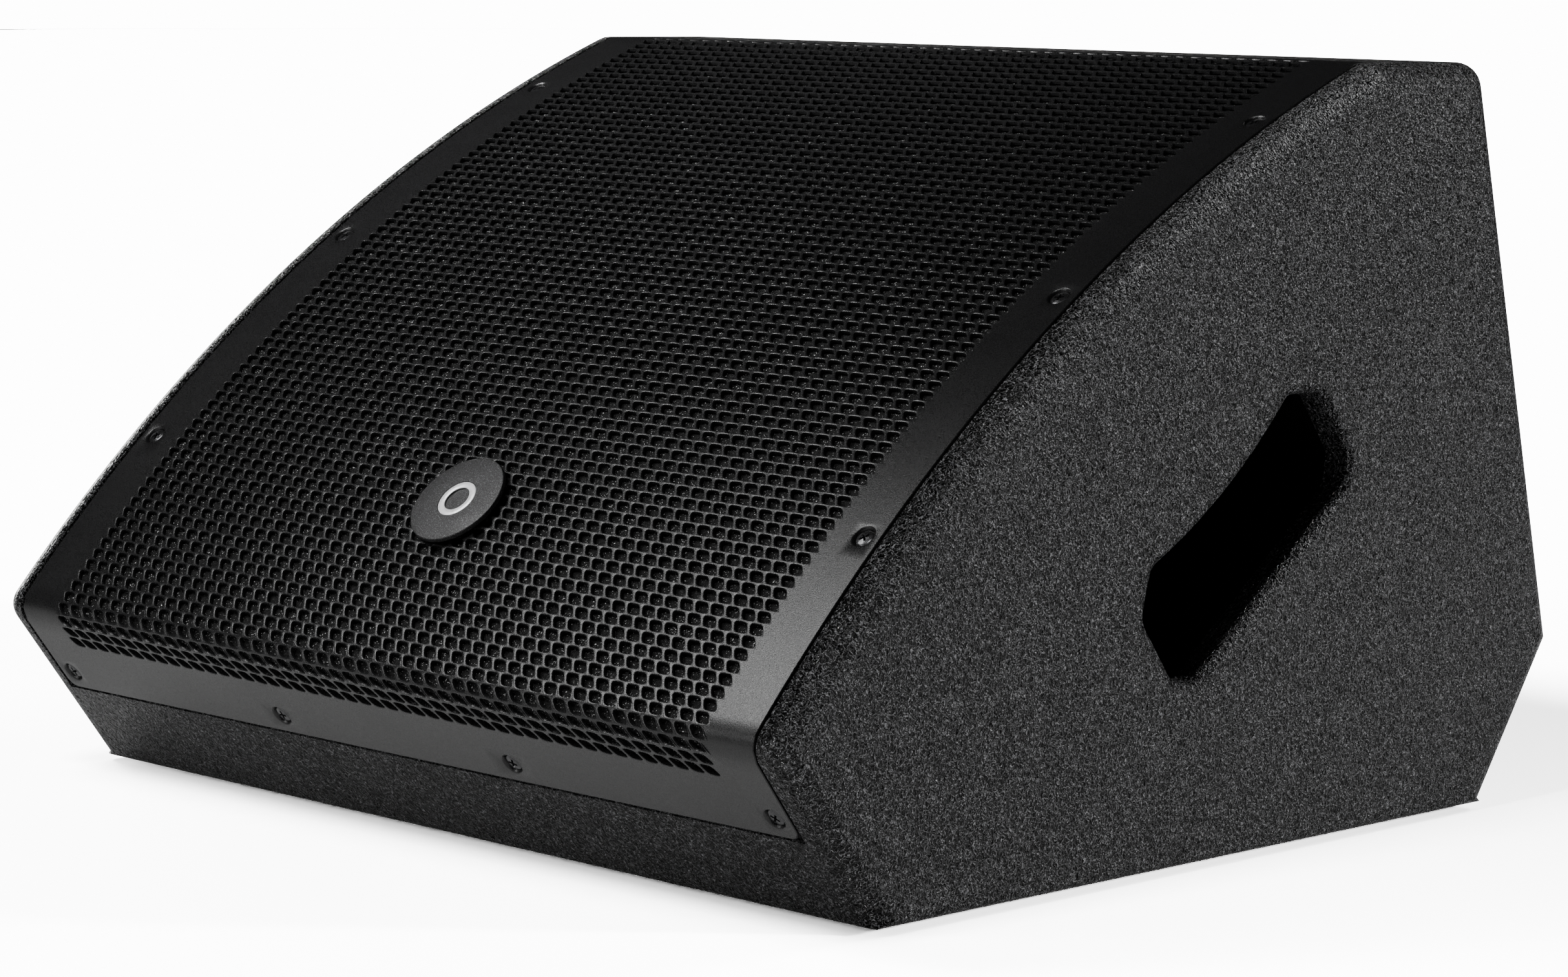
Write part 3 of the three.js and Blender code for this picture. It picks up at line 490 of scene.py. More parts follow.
def plastic(name, base, rough, grain=0.00003, scale=2200):
    finish = Finish(name, roughness=rough)
    fine = finish.noise(scale, detail=2)
    broad = finish.noise(40, detail=3)
    finish.colour(broad, [(0.3, grey(base * 0.8)), (0.7, grey(base * 1.25))])
    finish.rough(broad, rough - 0.05, rough + 0.05)
    finish.bump(fine, grain)
    return finish.material


def metal(name, base, rough, scale=600, grain=0.000012, metallic=1.0, stretch=None):
    finish = Finish(name, roughness=rough, metallic=metallic)
    coords = finish.stretched(*stretch) if stretch else None
    fine = finish.noise(scale, detail=3, coords=coords)
    finish.colour(fine, [(0.3, tuple(c * 0.88 for c in base)), (0.7, base)])
    finish.rough(fine, max(rough - 0.06, 0.04), rough + 0.06)
    finish.bump(fine, grain)
    return finish.material


def wood_board():
    finish = Finish("stained_board", roughness=0.85)
    grain = finish.noise(60, detail=5, roughness=0.7, coords=finish.stretched(0.2, 3, 3))
    finish.colour(grain, [(0.3, (0.010, 0.009, 0.008)), (0.7, (0.035, 0.030, 0.026))])
    finish.bump(grain, 0.0003)
    return finish.material


def circuit_green():
    finish = Finish("circuit_board", roughness=0.5)
    tracks = finish.cells(170)
    finish.colour(tracks, [(0.2, (0.012, 0.075, 0.030)), (0.6, (0.020, 0.110, 0.045))])
    finish.bump(finish.noise(900), 0.00005)
    return finish.material


def lens_green():
    finish = Finish("lamp_lens", roughness=0.15)
    finish.colour(finish.noise(900), [(0.3, (0.02, 0.26, 0.05)), (0.7, (0.05, 0.42, 0.10))])
    finish.shader.inputs["Coat Weight"].default_value = 0.6
    return finish.material


def badge_satin():
    finish = Finish("badge_satin", roughness=0.42, metallic=0.55)
    fine = finish.noise(2200, detail=2, roughness=0.8)
    finish.colour(fine, [(0.35, grey(0.006)), (0.55, grey(0.022)), (0.72, grey(0.15, COOL))])
    finish.rough(finish.noise(60), 0.36, 0.48)
    finish.bump(fine, 0.0001)
    return finish.material


MATERIALS = {
    "coating": coating(),
    "board": wood_board(),
    "grille_paint": powder_coat("grille_paint", base=0.0075, rough=0.28, grain=0.00008, specular=0.36),
    "foam": foam(),
    "black_screw": powder_coat("black_screw", base=0.05, rough=0.24, metallic=0.85, grain=0.00002),
    "badge_face": badge_satin(),
    "badge_ring": metal("polished_ring", (0.86, 0.86, 0.87), 0.32, grain=0.00001, metallic=0.25),
    "black_plastic": plastic("black_plastic", 0.012, 0.4),
    "amp_cast": powder_coat("amp_cast", base=0.016, rough=0.45, grain=0.00008),
    "basket_cast": powder_coat("basket_cast", base=0.018, rough=0.45, grain=0.00008),
    "cone_paper": plastic("cone_paper", 0.014, 0.85, grain=0.0002, scale=700),
    "surround_cloth": plastic("surround_cloth", 0.012, 0.8, grain=0.0002, scale=1400),
    "ferrite": plastic("ferrite", 0.05, 0.6, grain=0.0001, scale=900),
    "zinc_steel": metal("zinc_steel", (0.55, 0.56, 0.58), 0.32, stretch=(1, 12, 12)),
    "circuit": circuit_green(),
    "foot_rubber": plastic("foot_rubber", 0.014, 0.75, grain=0.00008, scale=1500),
    "lamp": lens_green(),
}
# The hand cups get a darker, less glossy copy of the black plastic: painted shade in the hand slots'
# recesses.
SHADED_CUP_BLACK = plastic("cup_black_painted_shade", 0.0008, 0.8, grain=0.00006)
SHADED_CUP_BLACK.node_tree.nodes["Principled BSDF"].inputs["Specular IOR Level"].default_value = 0.12
MARKS = plastic("printed_marks", 0.62, 0.6, grain=0.00001)
PIN_METAL = metal("pin_metal", (0.82, 0.80, 0.74), 0.2)

for entry in frame["record"]["subparts"]:
    node = frame["nodes"][entry["node"]]
    node.data.materials.clear()
    node.data.materials.append(MATERIALS[entry["material_slot"]])


def piece(shape, name, slot, *nodes, place=row, body="cabinet", material=None, sharp=SHARP_ANGLE,
          weld=True):
    """Makes one object of the shape, on its body and in its slot, in place of the named CAD nodes."""
    obj = shape.make(name, material or MATERIALS[slot], place, sharp, weld)
    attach(obj, body)
    if nodes:
        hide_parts(*nodes)
    return obj


# ---- cheeks with their hand slots
HANDLE = {"y": 200.8, "z": 123.8, "slope": 37.3, "half_length": 64.5, "half_width": 26, "bulge": 5}
HANDLE_CORNER = {"top_along": 15, "top_across": 12, "bottom": 9, "round": 4}
CUP = {"depth": 50, "wall": 3, "round": 10, "end_room": 4, "low_room": 3, "finger_room": 17,
       "gap": 0.3, "corner_share": 0.6}
SLOT_ROUND = 4
NEARLY_STRAIGHT = math.radians(172)
LONGEST_CUT = 0.45


def curve(start, control, end, steps):
    """Points of a quadratic curve."""
    return [start * (1 - t) ** 2 + control * 2 * t * (1 - t) + end * t * t for t in spread(0, 1, steps)]


def softened(points, radius, steps=5):
    """Cuts each clear corner of a polygon and bridges the cut with a smooth curve."""
    out = []
    n = len(points)
    for i, p in enumerate(points):
        before, after = points[i - 1] - p, points[(i + 1) % n] - p
        if before.angle(after) > NEARLY_STRAIGHT:
            out.append(p)
            continue
        a = p + before.normalized() * min(radius, before.length * LONGEST_CUT)
        b = p + after.normalized() * min(radius, after.length * LONGEST_CUT)
        out += curve(a, p, b, steps)
    return out


def handle_points():
    """The hand slot's outline about its own centre: two cut corners below and a waist above."""
    length, width = HANDLE["half_length"], HANDLE["half_width"]
    top_along, top_across = HANDLE_CORNER["top_along"], HANDLE_CORNER["top_across"]
    bottom = HANDLE_CORNER["bottom"]
    points = [(-length, -width + bottom), (-length + bottom, -width), (length - bottom, -width),
              (length, -width + bottom), (length, width - top_across)]
    start, end = Vector((length - top_along, width)), Vector((-length + top_along, width))
    waist = curve(start, Vector((0, width - 2 * HANDLE["bulge"])), end, 16)
    points = [Vector(p) for p in points] + waist + [Vector((-length, width - top_across))]
    return softened(points, HANDLE_CORNER["round"])


def moved_out(points, offset):
    """Moves each point of a counter-clockwise loop along its outward normal."""
    out = []
    n = len(points)
    for i, p in enumerate(points):
        along = (points[(i + 1) % n] - points[i - 1]).normalized()
        out.append(p - left_of(along) * offset)
    return out


def on_handle(points):
    """Turns and moves the hand slot's points to their place on the cheek."""
    turn = Matrix.Rotation(math.radians(HANDLE["slope"]), 2)
    centre = Vector((HANDLE["y"], HANDLE["z"]))
    return [turn @ p + centre for p in points]


def build_cheek(side, sign):
    shape = Shape()
    plain = outline()[0]
    rings = [[(sign * INNER_X, p.x, p.y) for p in plain]]
    for phi in spread(0, math.pi / 2, 8):
        inset = 1 - math.cos(phi)
        points, weights = outline(EDGE_ROUND * inset, BOTTOM_EDGE_ROUND * inset)
        ring = []
        for p, w in zip(points, weights):
            radius = BOTTOM_EDGE_ROUND + (EDGE_ROUND - BOTTOM_EDGE_ROUND) * w
            ring.append((sign * (WIDTH / 2 - radius * (1 - math.sin(phi))), p.x, p.y))
        rings.append(ring)
    made = shape.loft(rings)
    slot = handle_points()
    slot_rings = []
    for phi in spread(0, math.pi / 2, 6):
        loop = on_handle(moved_out(slot, SLOT_ROUND * (1 - math.sin(phi))))
        x = sign * (WIDTH / 2 - SLOT_ROUND * (1 - math.cos(phi)))
        slot_rings.append([(x, p.x, p.y) for p in loop])
    slot_rings.append([(sign * INNER_X, p.x, p.y) for p in on_handle(slot)])
    slot_made = shape.loft(slot_rings)
    shape.fill(made[-1], slot_made[0])
    shape.fill(made[0], slot_made[-1])
    piece(shape, f"cheek_{side}", "coating", f"side_panel_{side}", sharp=40)


def build_cup(side, sign):
    length = HANDLE["half_length"] + CUP["end_room"]
    low, high = HANDLE["half_width"] + CUP["low_room"], HANDLE["half_width"] + CUP["finger_room"]
    centre, half = (high - low) / 2, (high + low) / 2

    def loop(inset, x):
        radius = CUP["round"] - inset * CUP["corner_share"]
        points = rounded_rect(length - inset, half - inset, radius, 0, centre)
        return [(sign * x, p.x, p.y) for p in on_handle(points)]

    shape = Shape()
    floor_x = INNER_X - CUP["depth"] + CUP["wall"]
    mouth_x = INNER_X - CUP["gap"]
    reach = CUP["wall"] + CUP["round"]
    rings = []
    for phi in spread(0, math.pi / 2, 6):
        rings.append(loop(-CUP["wall"] + reach * (1 - math.sin(phi)),
                          floor_x - CUP["wall"] + reach * (1 - math.cos(phi))))
    rings += [loop(-CUP["wall"], mouth_x), loop(0, mouth_x)]
    for phi in spread(0, math.pi / 2, 6):
        rings.append(loop(CUP["round"] * (1 - math.cos(phi)),
                          floor_x + CUP["round"] * (1 - math.sin(phi))))
    made = shape.loft(rings)
    shape.cap(made[0])
    shape.cap(made[-1])
    piece(shape, f"hand_cup_{side}", "black_plastic", f"handle_cup_{side}", material=SHADED_CUP_BLACK)


for side, sign in (("right", 1), ("left", -1)):
    build_cheek(side, sign)
    build_cup(side, sign)

# ---- boards
kick_in, bottom_in, bevel_in = KICK.inward(PLY), BOTTOM.inward(PLY), BEVEL.inward(PLY)
back_in, top_in = BACK.inward(PLY), TOP.inward(PLY)


def along_kick(z):
    """Distance up the kick strip's face to height z."""
    return z / -KICK.along.y


def on_kick(distance, depth):
    """A point of the profile, by its distance up the kick strip and its depth under it."""
    return Line((0, 0), -KICK.along).at(distance) + left_of(KICK.along) * depth


SHEET_START = along_kick(SHEET["edge_z"])
seat_start = SHEET_START - EDGE_GAP
seat_end = SHEET["end_y"] + EDGE_GAP
BOARDS = {
    "kick_strip": ("kick_board", [
        on_kick(seat_start, 0), *corner(KICK, BOTTOM, LOW_CORNER_ROUND), BOTTOM.meet(kick_in),
        kick_in.meet(BAFFLE), KICK.inward(SHEET_ROOM).meet(BAFFLE), on_kick(seat_start, SHEET_ROOM),
    ]),
    "bottom_panel": ("bottom_board", [
        BOTTOM.meet(kick_in), BOTTOM.meet(bevel_in), bottom_in.meet(bevel_in), bottom_in.meet(kick_in),
    ]),
    "rear_bevel_panel": ("rear_bevel_board", [
        BOTTOM.meet(bevel_in), *corner(BOTTOM, BEVEL, LOW_CORNER_ROUND), BEVEL.meet(back_in),
        bevel_in.meet(back_in),
    ]),
    "back_panel": ("back_board", [
        BEVEL.meet(back_in), *corner(BEVEL, BACK, REAR_CORNER_ROUND), BACK.meet(top_in),
        back_in.meet(top_in),
    ]),
    "top_panel": ("top_board", [
        BACK.meet(top_in), *corner(BACK, TOP, TOP_BACK_ROUND), Vector((seat_end, HEIGHT)),
        Vector((seat_end, HEIGHT - SHEET_ROOM)), Vector((TOP_BOARD_FRONT_Y, HEIGHT - SHEET_ROOM)),
        Vector((TOP_BOARD_FRONT_Y, HEIGHT - PLY)),
    ]),
}
boards = {name: piece(prism(points, -INNER_X, INNER_X), name, "coating", cad_node)
          for name, (cad_node, points) in BOARDS.items()}

# ---- frames of the tilted parts
PLATE_UP = 118


def tilted_frame(x, point, x_dir, y_dir):
    """Turns a place in a tilted frame with its origin at (x, point) into one in the row frame."""
    z_dir = x_dir.cross(y_dir)

    def place(u, v, w):
        offset = x_dir * u + y_dir * v + z_dir * w
        return row(x + offset.x, point.x + offset.y, point.y + offset.z)

    return place


on_plate = tilted_frame(0, BACK.at(PLATE_UP), Vector((-1, 0, 0)), Vector((0, *BACK.along)))


def on_plate_at(x, y):
    """The plate's frame with its origin moved to (x, y)."""
    return lambda u, v, w: on_plate(x + u, y + v, w)


def spot_frame(x, point, out):
    """A frame on the front: z outwards, x across, y up the surface."""
    x_dir = Vector((1, 0, 0))
    return tilted_frame(x, point, x_dir, Vector((0, *out)).cross(x_dir))


def front_spot(z):
    """The point of the curved front at height z, and its outward direction."""
    point = Line((0, z), (1, 0)).meet_front(FRONT_RADIUS, -1)
    return point, (point - FRONT_CENTRE).normalized()


# ---- the sheet's path over the front
class Path:
    """The outer line of the sheet from its lower edge to the end of its top flange, by length."""

    def __init__(self):
        nose_centre = KICK.inward(NOSE_ROUND).meet_front(FRONT_RADIUS - NOSE_ROUND, -1)
        bend_centre = TOP.inward(TOP_BEND_ROUND).meet_front(FRONT_RADIUS - TOP_BEND_ROUND, 1)
        kick_angle = angle_of(KICK.out) % (2 * math.pi)
        nose_angle = angle_of(nose_centre - FRONT_CENTRE)
        bend_angle = angle_of(bend_centre - FRONT_CENTRE)
        nose_tangent = (nose_centre + KICK.out * NOSE_ROUND).length
        self.parts = [
            ("line", on_kick(SHEET_START, 0), -KICK.along, KICK.out, nose_tangent - SHEET_START),
            ("arc", nose_centre, NOSE_ROUND, kick_angle, nose_angle),
            ("arc", FRONT_CENTRE, FRONT_RADIUS, nose_angle, bend_angle),
            ("arc", bend_centre, TOP_BEND_ROUND, bend_angle, math.pi / 2),
            ("line", Vector((bend_centre.x, HEIGHT)), Vector((1, 0)), Vector((0, 1)),
             SHEET["end_y"] - bend_centre.x),
        ]
        self.lengths = [p[4] if p[0] == "line" else p[2] * (p[3] - p[4]) for p in self.parts]
        self.length = sum(self.lengths)

    def at(self, s):
        """(point, outward direction) at a length from the lower edge."""
        for part, length in zip(self.parts, self.lengths):
            if s <= length or part is self.parts[-1]:
                if part[0] == "line":
                    return part[1] + part[2] * s, part[3]
                angle = part[3] - s / part[2]
                out = Vector((math.cos(angle), math.sin(angle)))
                return part[1] + out * part[2], out
            s -= length

    def front_length(self, z):
        """Length to the point of the curved front at height z."""
        direction = front_spot(z)[1]
        return sum(self.lengths[:2]) + FRONT_RADIUS * (self.parts[2][3] - angle_of(direction))

    def place(self, x, s, depth):
        point, out = self.at(s)
        return row(x, point.x - out.x * depth, point.y - out.y * depth)


path = Path()

# ---- perforated sheet
COLUMNS = 48
ROWS = 78
COLUMN_PITCH = 7.817
ROW_PITCH = 5.47
FIRST_ROW_Z = 56.5
HOLE = {"half_width": 3.05, "half_height": 2.25, "lean": 0.667, "round": 1.7}
HOLE_RIM = [(0.38, 0), (0.1, 0.1), (0, 0.36), (0, 1.5)]
EDGE_SCREW_X = 203.5
LOW_SCREW_X = (-EDGE_SCREW_X, -67.3, 67.3, EDGE_SCREW_X)
LOW_SCREW_Z = 40.4
EDGE_SCREW_Z = [136, 216, 278]
DIMPLE = [(5.0, 0.0), (4.7, 0.12), (4.25, 0.75), (4.05, 1.25), (3.95, 1.5)]
DIMPLE_SIDES = 32
DIMPLE_ROOM = 6
SHEET_CORNER = 5.0
SHEET_EDGE = 0.3
MARGIN_LINES = [SHEET["half_width"], 210.5, 209.3, 207.8, 206.5, 202.0, 196.5]
LOW_LINES = [0, 0.8, 2.0, 3.6, 5.0, 16.0, 21.0]
TOP_MARGIN = 4

first_row = along_kick(FIRST_ROW_Z) - SHEET_START
low_screw_s = along_kick(LOW_SCREW_Z) - SHEET_START


def hole_points():
    w, h = HOLE["half_width"], HOLE["half_height"]
    square = [Vector((w, -h)), Vector((w, h)), Vector((-w, h)), Vector((-w, -h))]
    square = [Vector((p.x - HOLE["lean"] * p.y, p.y)) for p in square]
    return softened(square, HOLE["round"], steps=3)


def rounded_corner(x, s):
    """Keeps a point of the sheet inside its rounded lower corners."""
    cx, cs = SHEET["half_width"] - SHEET_CORNER, SHEET_CORNER
    if abs(x) > cx and s < cs:
        d = Vector((abs(x) - cx, s - cs))
        if d.length > SHEET_CORNER:
            d *= SHEET_CORNER / d.length
        return math.copysign(cx + d.x, x), cs + d.y
    return x, s


def sheet_lines():
    """The x and s lines of the sheet's grid, and where the hole field starts in each."""
    columns = [(i - COLUMNS / 2) * COLUMN_PITCH for i in range(COLUMNS + 1)]
    rows = [first_row + (j - 0.5) * ROW_PITCH for j in range(ROWS + 1)]
    xs = [-x for x in MARGIN_LINES] + columns + MARGIN_LINES[::-1]
    ss = LOW_LINES + rows + [path.length - TOP_MARGIN, path.length]
    return xs, ss, len(MARGIN_LINES), len(LOW_LINES)


def index_below(lines, value):
    return max(k for k, line in enumerate(lines) if line <= value)


class SheetGrid:
    """One face of the sheet as lines of points; each row of holes sits in leaning cells."""

    def __init__(self, shape, depth, xs, ss, first_column, first_line):
        self.columns = range(first_column, first_column + COLUMNS + 1)
        self.field = (first_line, first_line + ROWS)
        self.lines = []
        slant = HOLE["lean"] * ROW_PITCH / 2
        for j, s in enumerate(ss):
            keys, points = [], []
            for i, x in enumerate(xs):
                for above in self.sides(i, j):
                    px, ps = rounded_corner(x + (0 if above is None else slant if above else -slant), s)
                    keys.append((i, above))
                    points.append((px, ps, depth))
            self.lines.append((keys, shape.ring(points)))

    def sides(self, i, j):
        """The points at a crossing: one, or one for the row below and one for the row above."""
        low, high = self.field
        if i not in self.columns or not low <= j <= high:
            return (None,)
        return (True,) if j == low else (False,) if j == high else (False, True)

    def run(self, j, i0, i1, above):
        """The points along line j between two crossings, as seen from the row above or below."""
        keys, line = self.lines[j]

        def position(i):
            sides = self.sides(i, j)
            return keys.index((i, above if above in sides else sides[0]))

        return line[position(i0):position(i1) + 1]

    def loop(self, i0, i1, j0, j1):
        low, high = self.run(j0, i0, i1, True), self.run(j1, i0, i1, False)
        right = [self.run(j, i1, i1, True)[0] for j in range(j0 + 1, j1)]
        left = [self.run(j, i0, i0, True)[0] for j in range(j1 - 1, j0, -1)]
        return low + right + high[::-1] + left


def build_sheet():
    xs, ss, first_column, first_line = sheet_lines()
    shape = Shape()
    front = SheetGrid(shape, 0.0, xs, ss, first_column, first_line)
    rear = SheetGrid(shape, SHEET["thickness"], xs, ss, first_column, first_line)
    taken = set()

    def take(i0, i1, j0, j1, centre, rings):
        """Cuts a hole through the cells i0..i1 by j0..j1, with rings from the outer face inwards."""
        taken.update((i, j) for i in range(i0, i1) for j in range(j0, j1))
        made = [shape.ring([(p.x, p.y, depth) for p in points]) for points, depth in rings]
        for a, b in zip(made, made[1:]):
            shape.bridge(a, b)
        shape.stitch(front.loop(i0, i1, j0, j1), made[0], centre)
        shape.stitch(rear.loop(i0, i1, j0, j1), made[-1], centre)

    circle = circle_points(1, sides=DIMPLE_SIDES)
    spots = [(x, low_screw_s) for x in LOW_SCREW_X]
    spots += [(sign * EDGE_SCREW_X, path.front_length(z)) for z in EDGE_SCREW_Z for sign in (1, -1)]
    for x, s in spots:
        centre = Vector((x, s))
        i0, i1 = index_below(xs, x - DIMPLE_ROOM), index_below(xs, x + DIMPLE_ROOM) + 1
        j0, j1 = index_below(ss, s - DIMPLE_ROOM), index_below(ss, s + DIMPLE_ROOM) + 1
        rings = [([centre + c * radius for c in circle], depth) for radius, depth in DIMPLE]
        take(i0, i1, j0, j1, centre, rings)
    hole = hole_points()
    hole_rings = [(moved_out(hole, out), depth) for out, depth in HOLE_RIM]
    for r in range(ROWS):
        for c in range(COLUMNS):
            i, j = first_column + c, first_line + r
            centre = Vector(((xs[i] + xs[i + 1]) / 2, (ss[j] + ss[j + 1]) / 2))
            rings = [([centre + p for p in points], depth) for points, depth in hole_rings]
            take(i, i + 1, j, j + 1, centre, rings)
    last_i, last_j = len(xs) - 1, len(ss) - 1
    for i in range(last_i):
        for j in range(last_j):
            if (i, j) not in taken:
                for grid in (front, rear):
                    shape.faces.append(tuple(grid.loop(i, i + 1, j, j + 1)))
    outer = front.loop(0, last_i, 0, last_j)
    lower = rear.loop(0, last_i, 0, last_j)
    flat = [Vector((shape.points[k].x, shape.points[k].y)) for k in outer]
    for k, p in zip(outer, moved_out(flat, -SHEET_EDGE)):
        shape.points[k] = Vector((p.x, p.y, 0.0))
    middle = shape.ring([(p.x, p.y, SHEET_EDGE) for p in flat])
    shape.bridge(outer, middle)
    shape.bridge(middle, lower)
    return shape


piece(build_sheet(), "perforated_sheet", "grille_paint", "grille", place=path.place, sharp=38, weld=False)


# ---- foam behind the sheet
FOAM = {"thickness": 5, "half_width": 192, "depth": 2.1, "low_end": 63, "cell": 3.0, "swell": 0.25,
        "swells_per_mm": 0.23}


def build_foam():
    start = FOAM["low_end"] - SHEET_START
    end = path.length - (SHEET["end_y"] - TOP_BOARD_FRONT_Y) - EDGE_GAP
    n_s = int((end - start) / FOAM["cell"])
    n_x = int(2 * FOAM["half_width"] / FOAM["cell"])
    shape = Shape()
    faces = []
    for depth, swell in ((FOAM["depth"], FOAM["swell"]), (FOAM["depth"] + FOAM["thickness"], 0)):
        rings = []
        for s in spread(start, end, n_s):
            line = []
            for x in spread(-FOAM["half_width"], FOAM["half_width"], n_x):
                lift = swell * (0.5 + noise.noise(Vector((x, s, 0)) * FOAM["swells_per_mm"]))
                line.append((x, s, depth + lift))
            rings.append(line)
        faces.append(shape.loft(rings, closed=False))
    top, under = faces

    def border(grid):
        loop = list(grid[0]) + [line[-1] for line in grid[1:]]
        return loop + list(reversed(grid[-1][:-1])) + [line[0] for line in reversed(grid[1:-1])]

    shape.bridge(border(top), border(under))
    return shape


lining = piece(build_foam(), "grille_lining", "foam", "grille_foam", place=path.place, sharp=60, weld=False)


# ---- cross-head screws
def cross_points(reach, half):
    """The outline of a cross, counter-clockwise."""
    arm = [Vector((half, half)), Vector((half, reach)), Vector((-half, reach))]
    return [Matrix.Rotation(k * math.pi / 2, 2) @ p for k in range(4) for p in arm]


SCREWS = {
    "sheet": {"head": 3.75, "rise": 0.75, "shank": 1.9, "length": 12},
    "panel": {"head": 3.6, "rise": 1.2, "shank": 1.7, "length": 11},
    "flange": {"head": 1.9, "rise": 0.5, "shank": 1.1, "length": 2.2},
    "inlet": {"head": 2.6, "rise": 0.6, "shank": 1.4, "length": 2.4},
}
SHEET_SCREW_SINK = -0.85
FITTING_SHARP = 35
# The parts of a screw's head as shares of its radius.
SCREW = {"rim": 0.12, "cone": 0.62, "reach": 0.56, "half": 0.13, "depth": 0.42}
CROWN = 0.12
CROSS_FLOOR = 0.55
CROSS_LIP = (0.96, 0.12)
SCREW_LIP = 0.1
SCREW_SIDES = 32
DOME_END = math.radians(42)


def cross_screw(name, place, kind, z0, turn, *nodes):
    """A screw with a domed head and a cross recess; the head's rim sits just under height z0."""
    head, rise, shank, length = (SCREWS[kind][k] for k in ("head", "rise", "shank", "length"))
    shape = Shape()
    spin = Matrix.Rotation(turn, 2)
    circle = [spin @ Vector((math.cos(a), math.sin(a))) for a in spread(0, 2 * math.pi, SCREW_SIDES)[:-1]]

    def circle_at(radius, z):
        return [(p.x * radius, p.y * radius, z) for p in circle]

    rim = z0 - head * SCREW["rim"]
    rings = [circle_at(shank, z0 - length), circle_at(shank, z0 - head * SCREW["cone"]),
             circle_at(head, rim - SCREW_LIP / 2), circle_at(head, rim + SCREW_LIP)]
    for a in spread(math.pi / 2, DOME_END, 5)[1:]:
        rings.append(circle_at(head * math.sin(a), rim + SCREW_LIP + rise * math.cos(a)))
    made = shape.loft(rings)
    shape.fan(made[0], (0, 0, z0 - length))
    top = rim + SCREW_LIP * 1.5 + rise * math.cos(DOME_END)
    crown = top + rise * CROWN
    mouth = [spin @ p for p in cross_points(head * SCREW["reach"], head * SCREW["half"])]
    rings = [shape.ring([(p.x * share, p.y * share, z) for p in mouth])
             for share, z in ((1, crown), (CROSS_LIP[0], crown - CROSS_LIP[1]),
                              (CROSS_FLOOR, top - head * SCREW["depth"]))]
    shape.stitch(made[-1], rings[0], (0, 0))
    shape.bridge(rings[0], rings[1])
    shape.bridge(rings[1], rings[2])
    shape.cap(rings[2])
    piece(shape, name, "black_screw", *nodes, place=place, sharp=FITTING_SHARP)


screw_spots = [(x, on_kick(along_kick(LOW_SCREW_Z), 0), KICK.out) for x in LOW_SCREW_X]
screw_spots += [(sign * EDGE_SCREW_X, *front_spot(z)) for z in EDGE_SCREW_Z for sign in (1, -1)]
# Each screw stops at its own angle, as hand-driven screws do.
for k, (x, point, out) in enumerate(screw_spots, start=1):
    cross_screw(f"sheet_screw_{k:02d}", spot_frame(x, point, out), "sheet", SHEET_SCREW_SINK,
                0.5 + 1.3 * k, f"grille_screw_{k:02d}")

# ---- badge
BADGE = {"radius": 20.8, "thickness": 2, "stand_off": 1.6, "z": 127.6, "post": 4, "post_end": -1.5,
         "chamfer": 0.3, "round": 0.45, "sides": 96}
RING = {"outer": 8.4, "inner": 5.6, "thickness": 0.5, "edge": 0.15, "bevel": 0.35, "play": 0.15,
        "room": 0.3, "sides": 72}
badge_place = spot_frame(0, *front_spot(BADGE["z"]))
badge_face = BADGE["stand_off"] + BADGE["thickness"]
ring_floor = badge_face - RING["thickness"]
low_rim = BADGE["stand_off"] + BADGE["chamfer"]
recess = RING["outer"] + RING["play"]
recess_floor = ring_floor - RING["room"]
badge_profile = [
    (0, BADGE["post_end"]), (BADGE["post"], BADGE["post_end"]), (BADGE["post"], BADGE["stand_off"]),
    (BADGE["radius"] - BADGE["chamfer"], BADGE["stand_off"]), (BADGE["radius"], low_rim),
]
for a in spread(0, math.pi / 2, 4):
    badge_profile.append((BADGE["radius"] - BADGE["round"] * (1 - math.cos(a)),
                          badge_face - BADGE["round"] * (1 - math.sin(a))))
badge_profile += [(recess + RING["edge"], badge_face), (recess, badge_face - RING["edge"]),
                  (recess, recess_floor), (0, recess_floor)]
ring_profile = [
    (RING["inner"], ring_floor), (RING["outer"], ring_floor), (RING["outer"], badge_face - RING["edge"]),
    (RING["outer"] - RING["bevel"], badge_face), (RING["inner"] + RING["bevel"], badge_face),
    (RING["inner"], badge_face - RING["edge"]),
]
badge_solid, ring_solid = lathe(badge_profile, BADGE["sides"]), lathe(ring_profile, RING["sides"])
piece(badge_solid, "badge_plate", "badge_face", "badge_disc", place=badge_place)
piece(ring_solid, "badge_inlay", "badge_ring", "badge_ring", place=badge_place)

# ---- amplifier plate
PLATE = {"half_x": 130, "half_y": 80, "round": 4, "face": -0.5, "back": -3, "edge": 0.6, "lip": 0.3}
REBATE = {"room": 0.8, "floor": -3.05, "edge": 0.8, "over": 1, "top": 0.5}
OPENING = {"outline": (117, 66, 2), "from": -2 * PLY, "to": 1}
SPOTS = {
    "input": (22, 44), "link": (58, 44), "knob": (98, 46), "button": (98, 12), "lamp": (76, 12),
    "inlet": (36, -44), "rocker": (92, -44),
}
FIN = {"first": -116, "pitch": 9, "count": 11, "half_x": 1.5, "half_y": 62, "flat": 0.02}
FIN_PROFILE = [(0.9, 0), (0.3, 0.25), (0, 0.9), (-0.25, 11.3), (-0.4, 11.9), (-0.75, 12.3), (-1.2, 12.5)]
BOX_HOLES = {"input": (12.3, 14.8, 4), "link": (12.3, 14.8, 4), "inlet": (15.8, 11.8, 1),
             "rocker": (10, 13.4, 1)}
ROUND_HOLES = {"knob": 3.6, "button": 3.8, "lamp": 2.9}
PLATE_SCREW = (124, 74)
SEAT = PLATE["face"] + 0.05
PRINT = {"sunk": -0.08, "rise": 0.05}


def at_height(points, z):
    return [(p[0], p[1], z) for p in points]


def carry(shape, loop, steps):
    """Carries a loop on through (points, z) steps and returns the last loop."""
    for points, z in steps:
        following = shape.ring(at_height(points, z))
        shape.bridge(loop, following)
        loop = following
    return loop


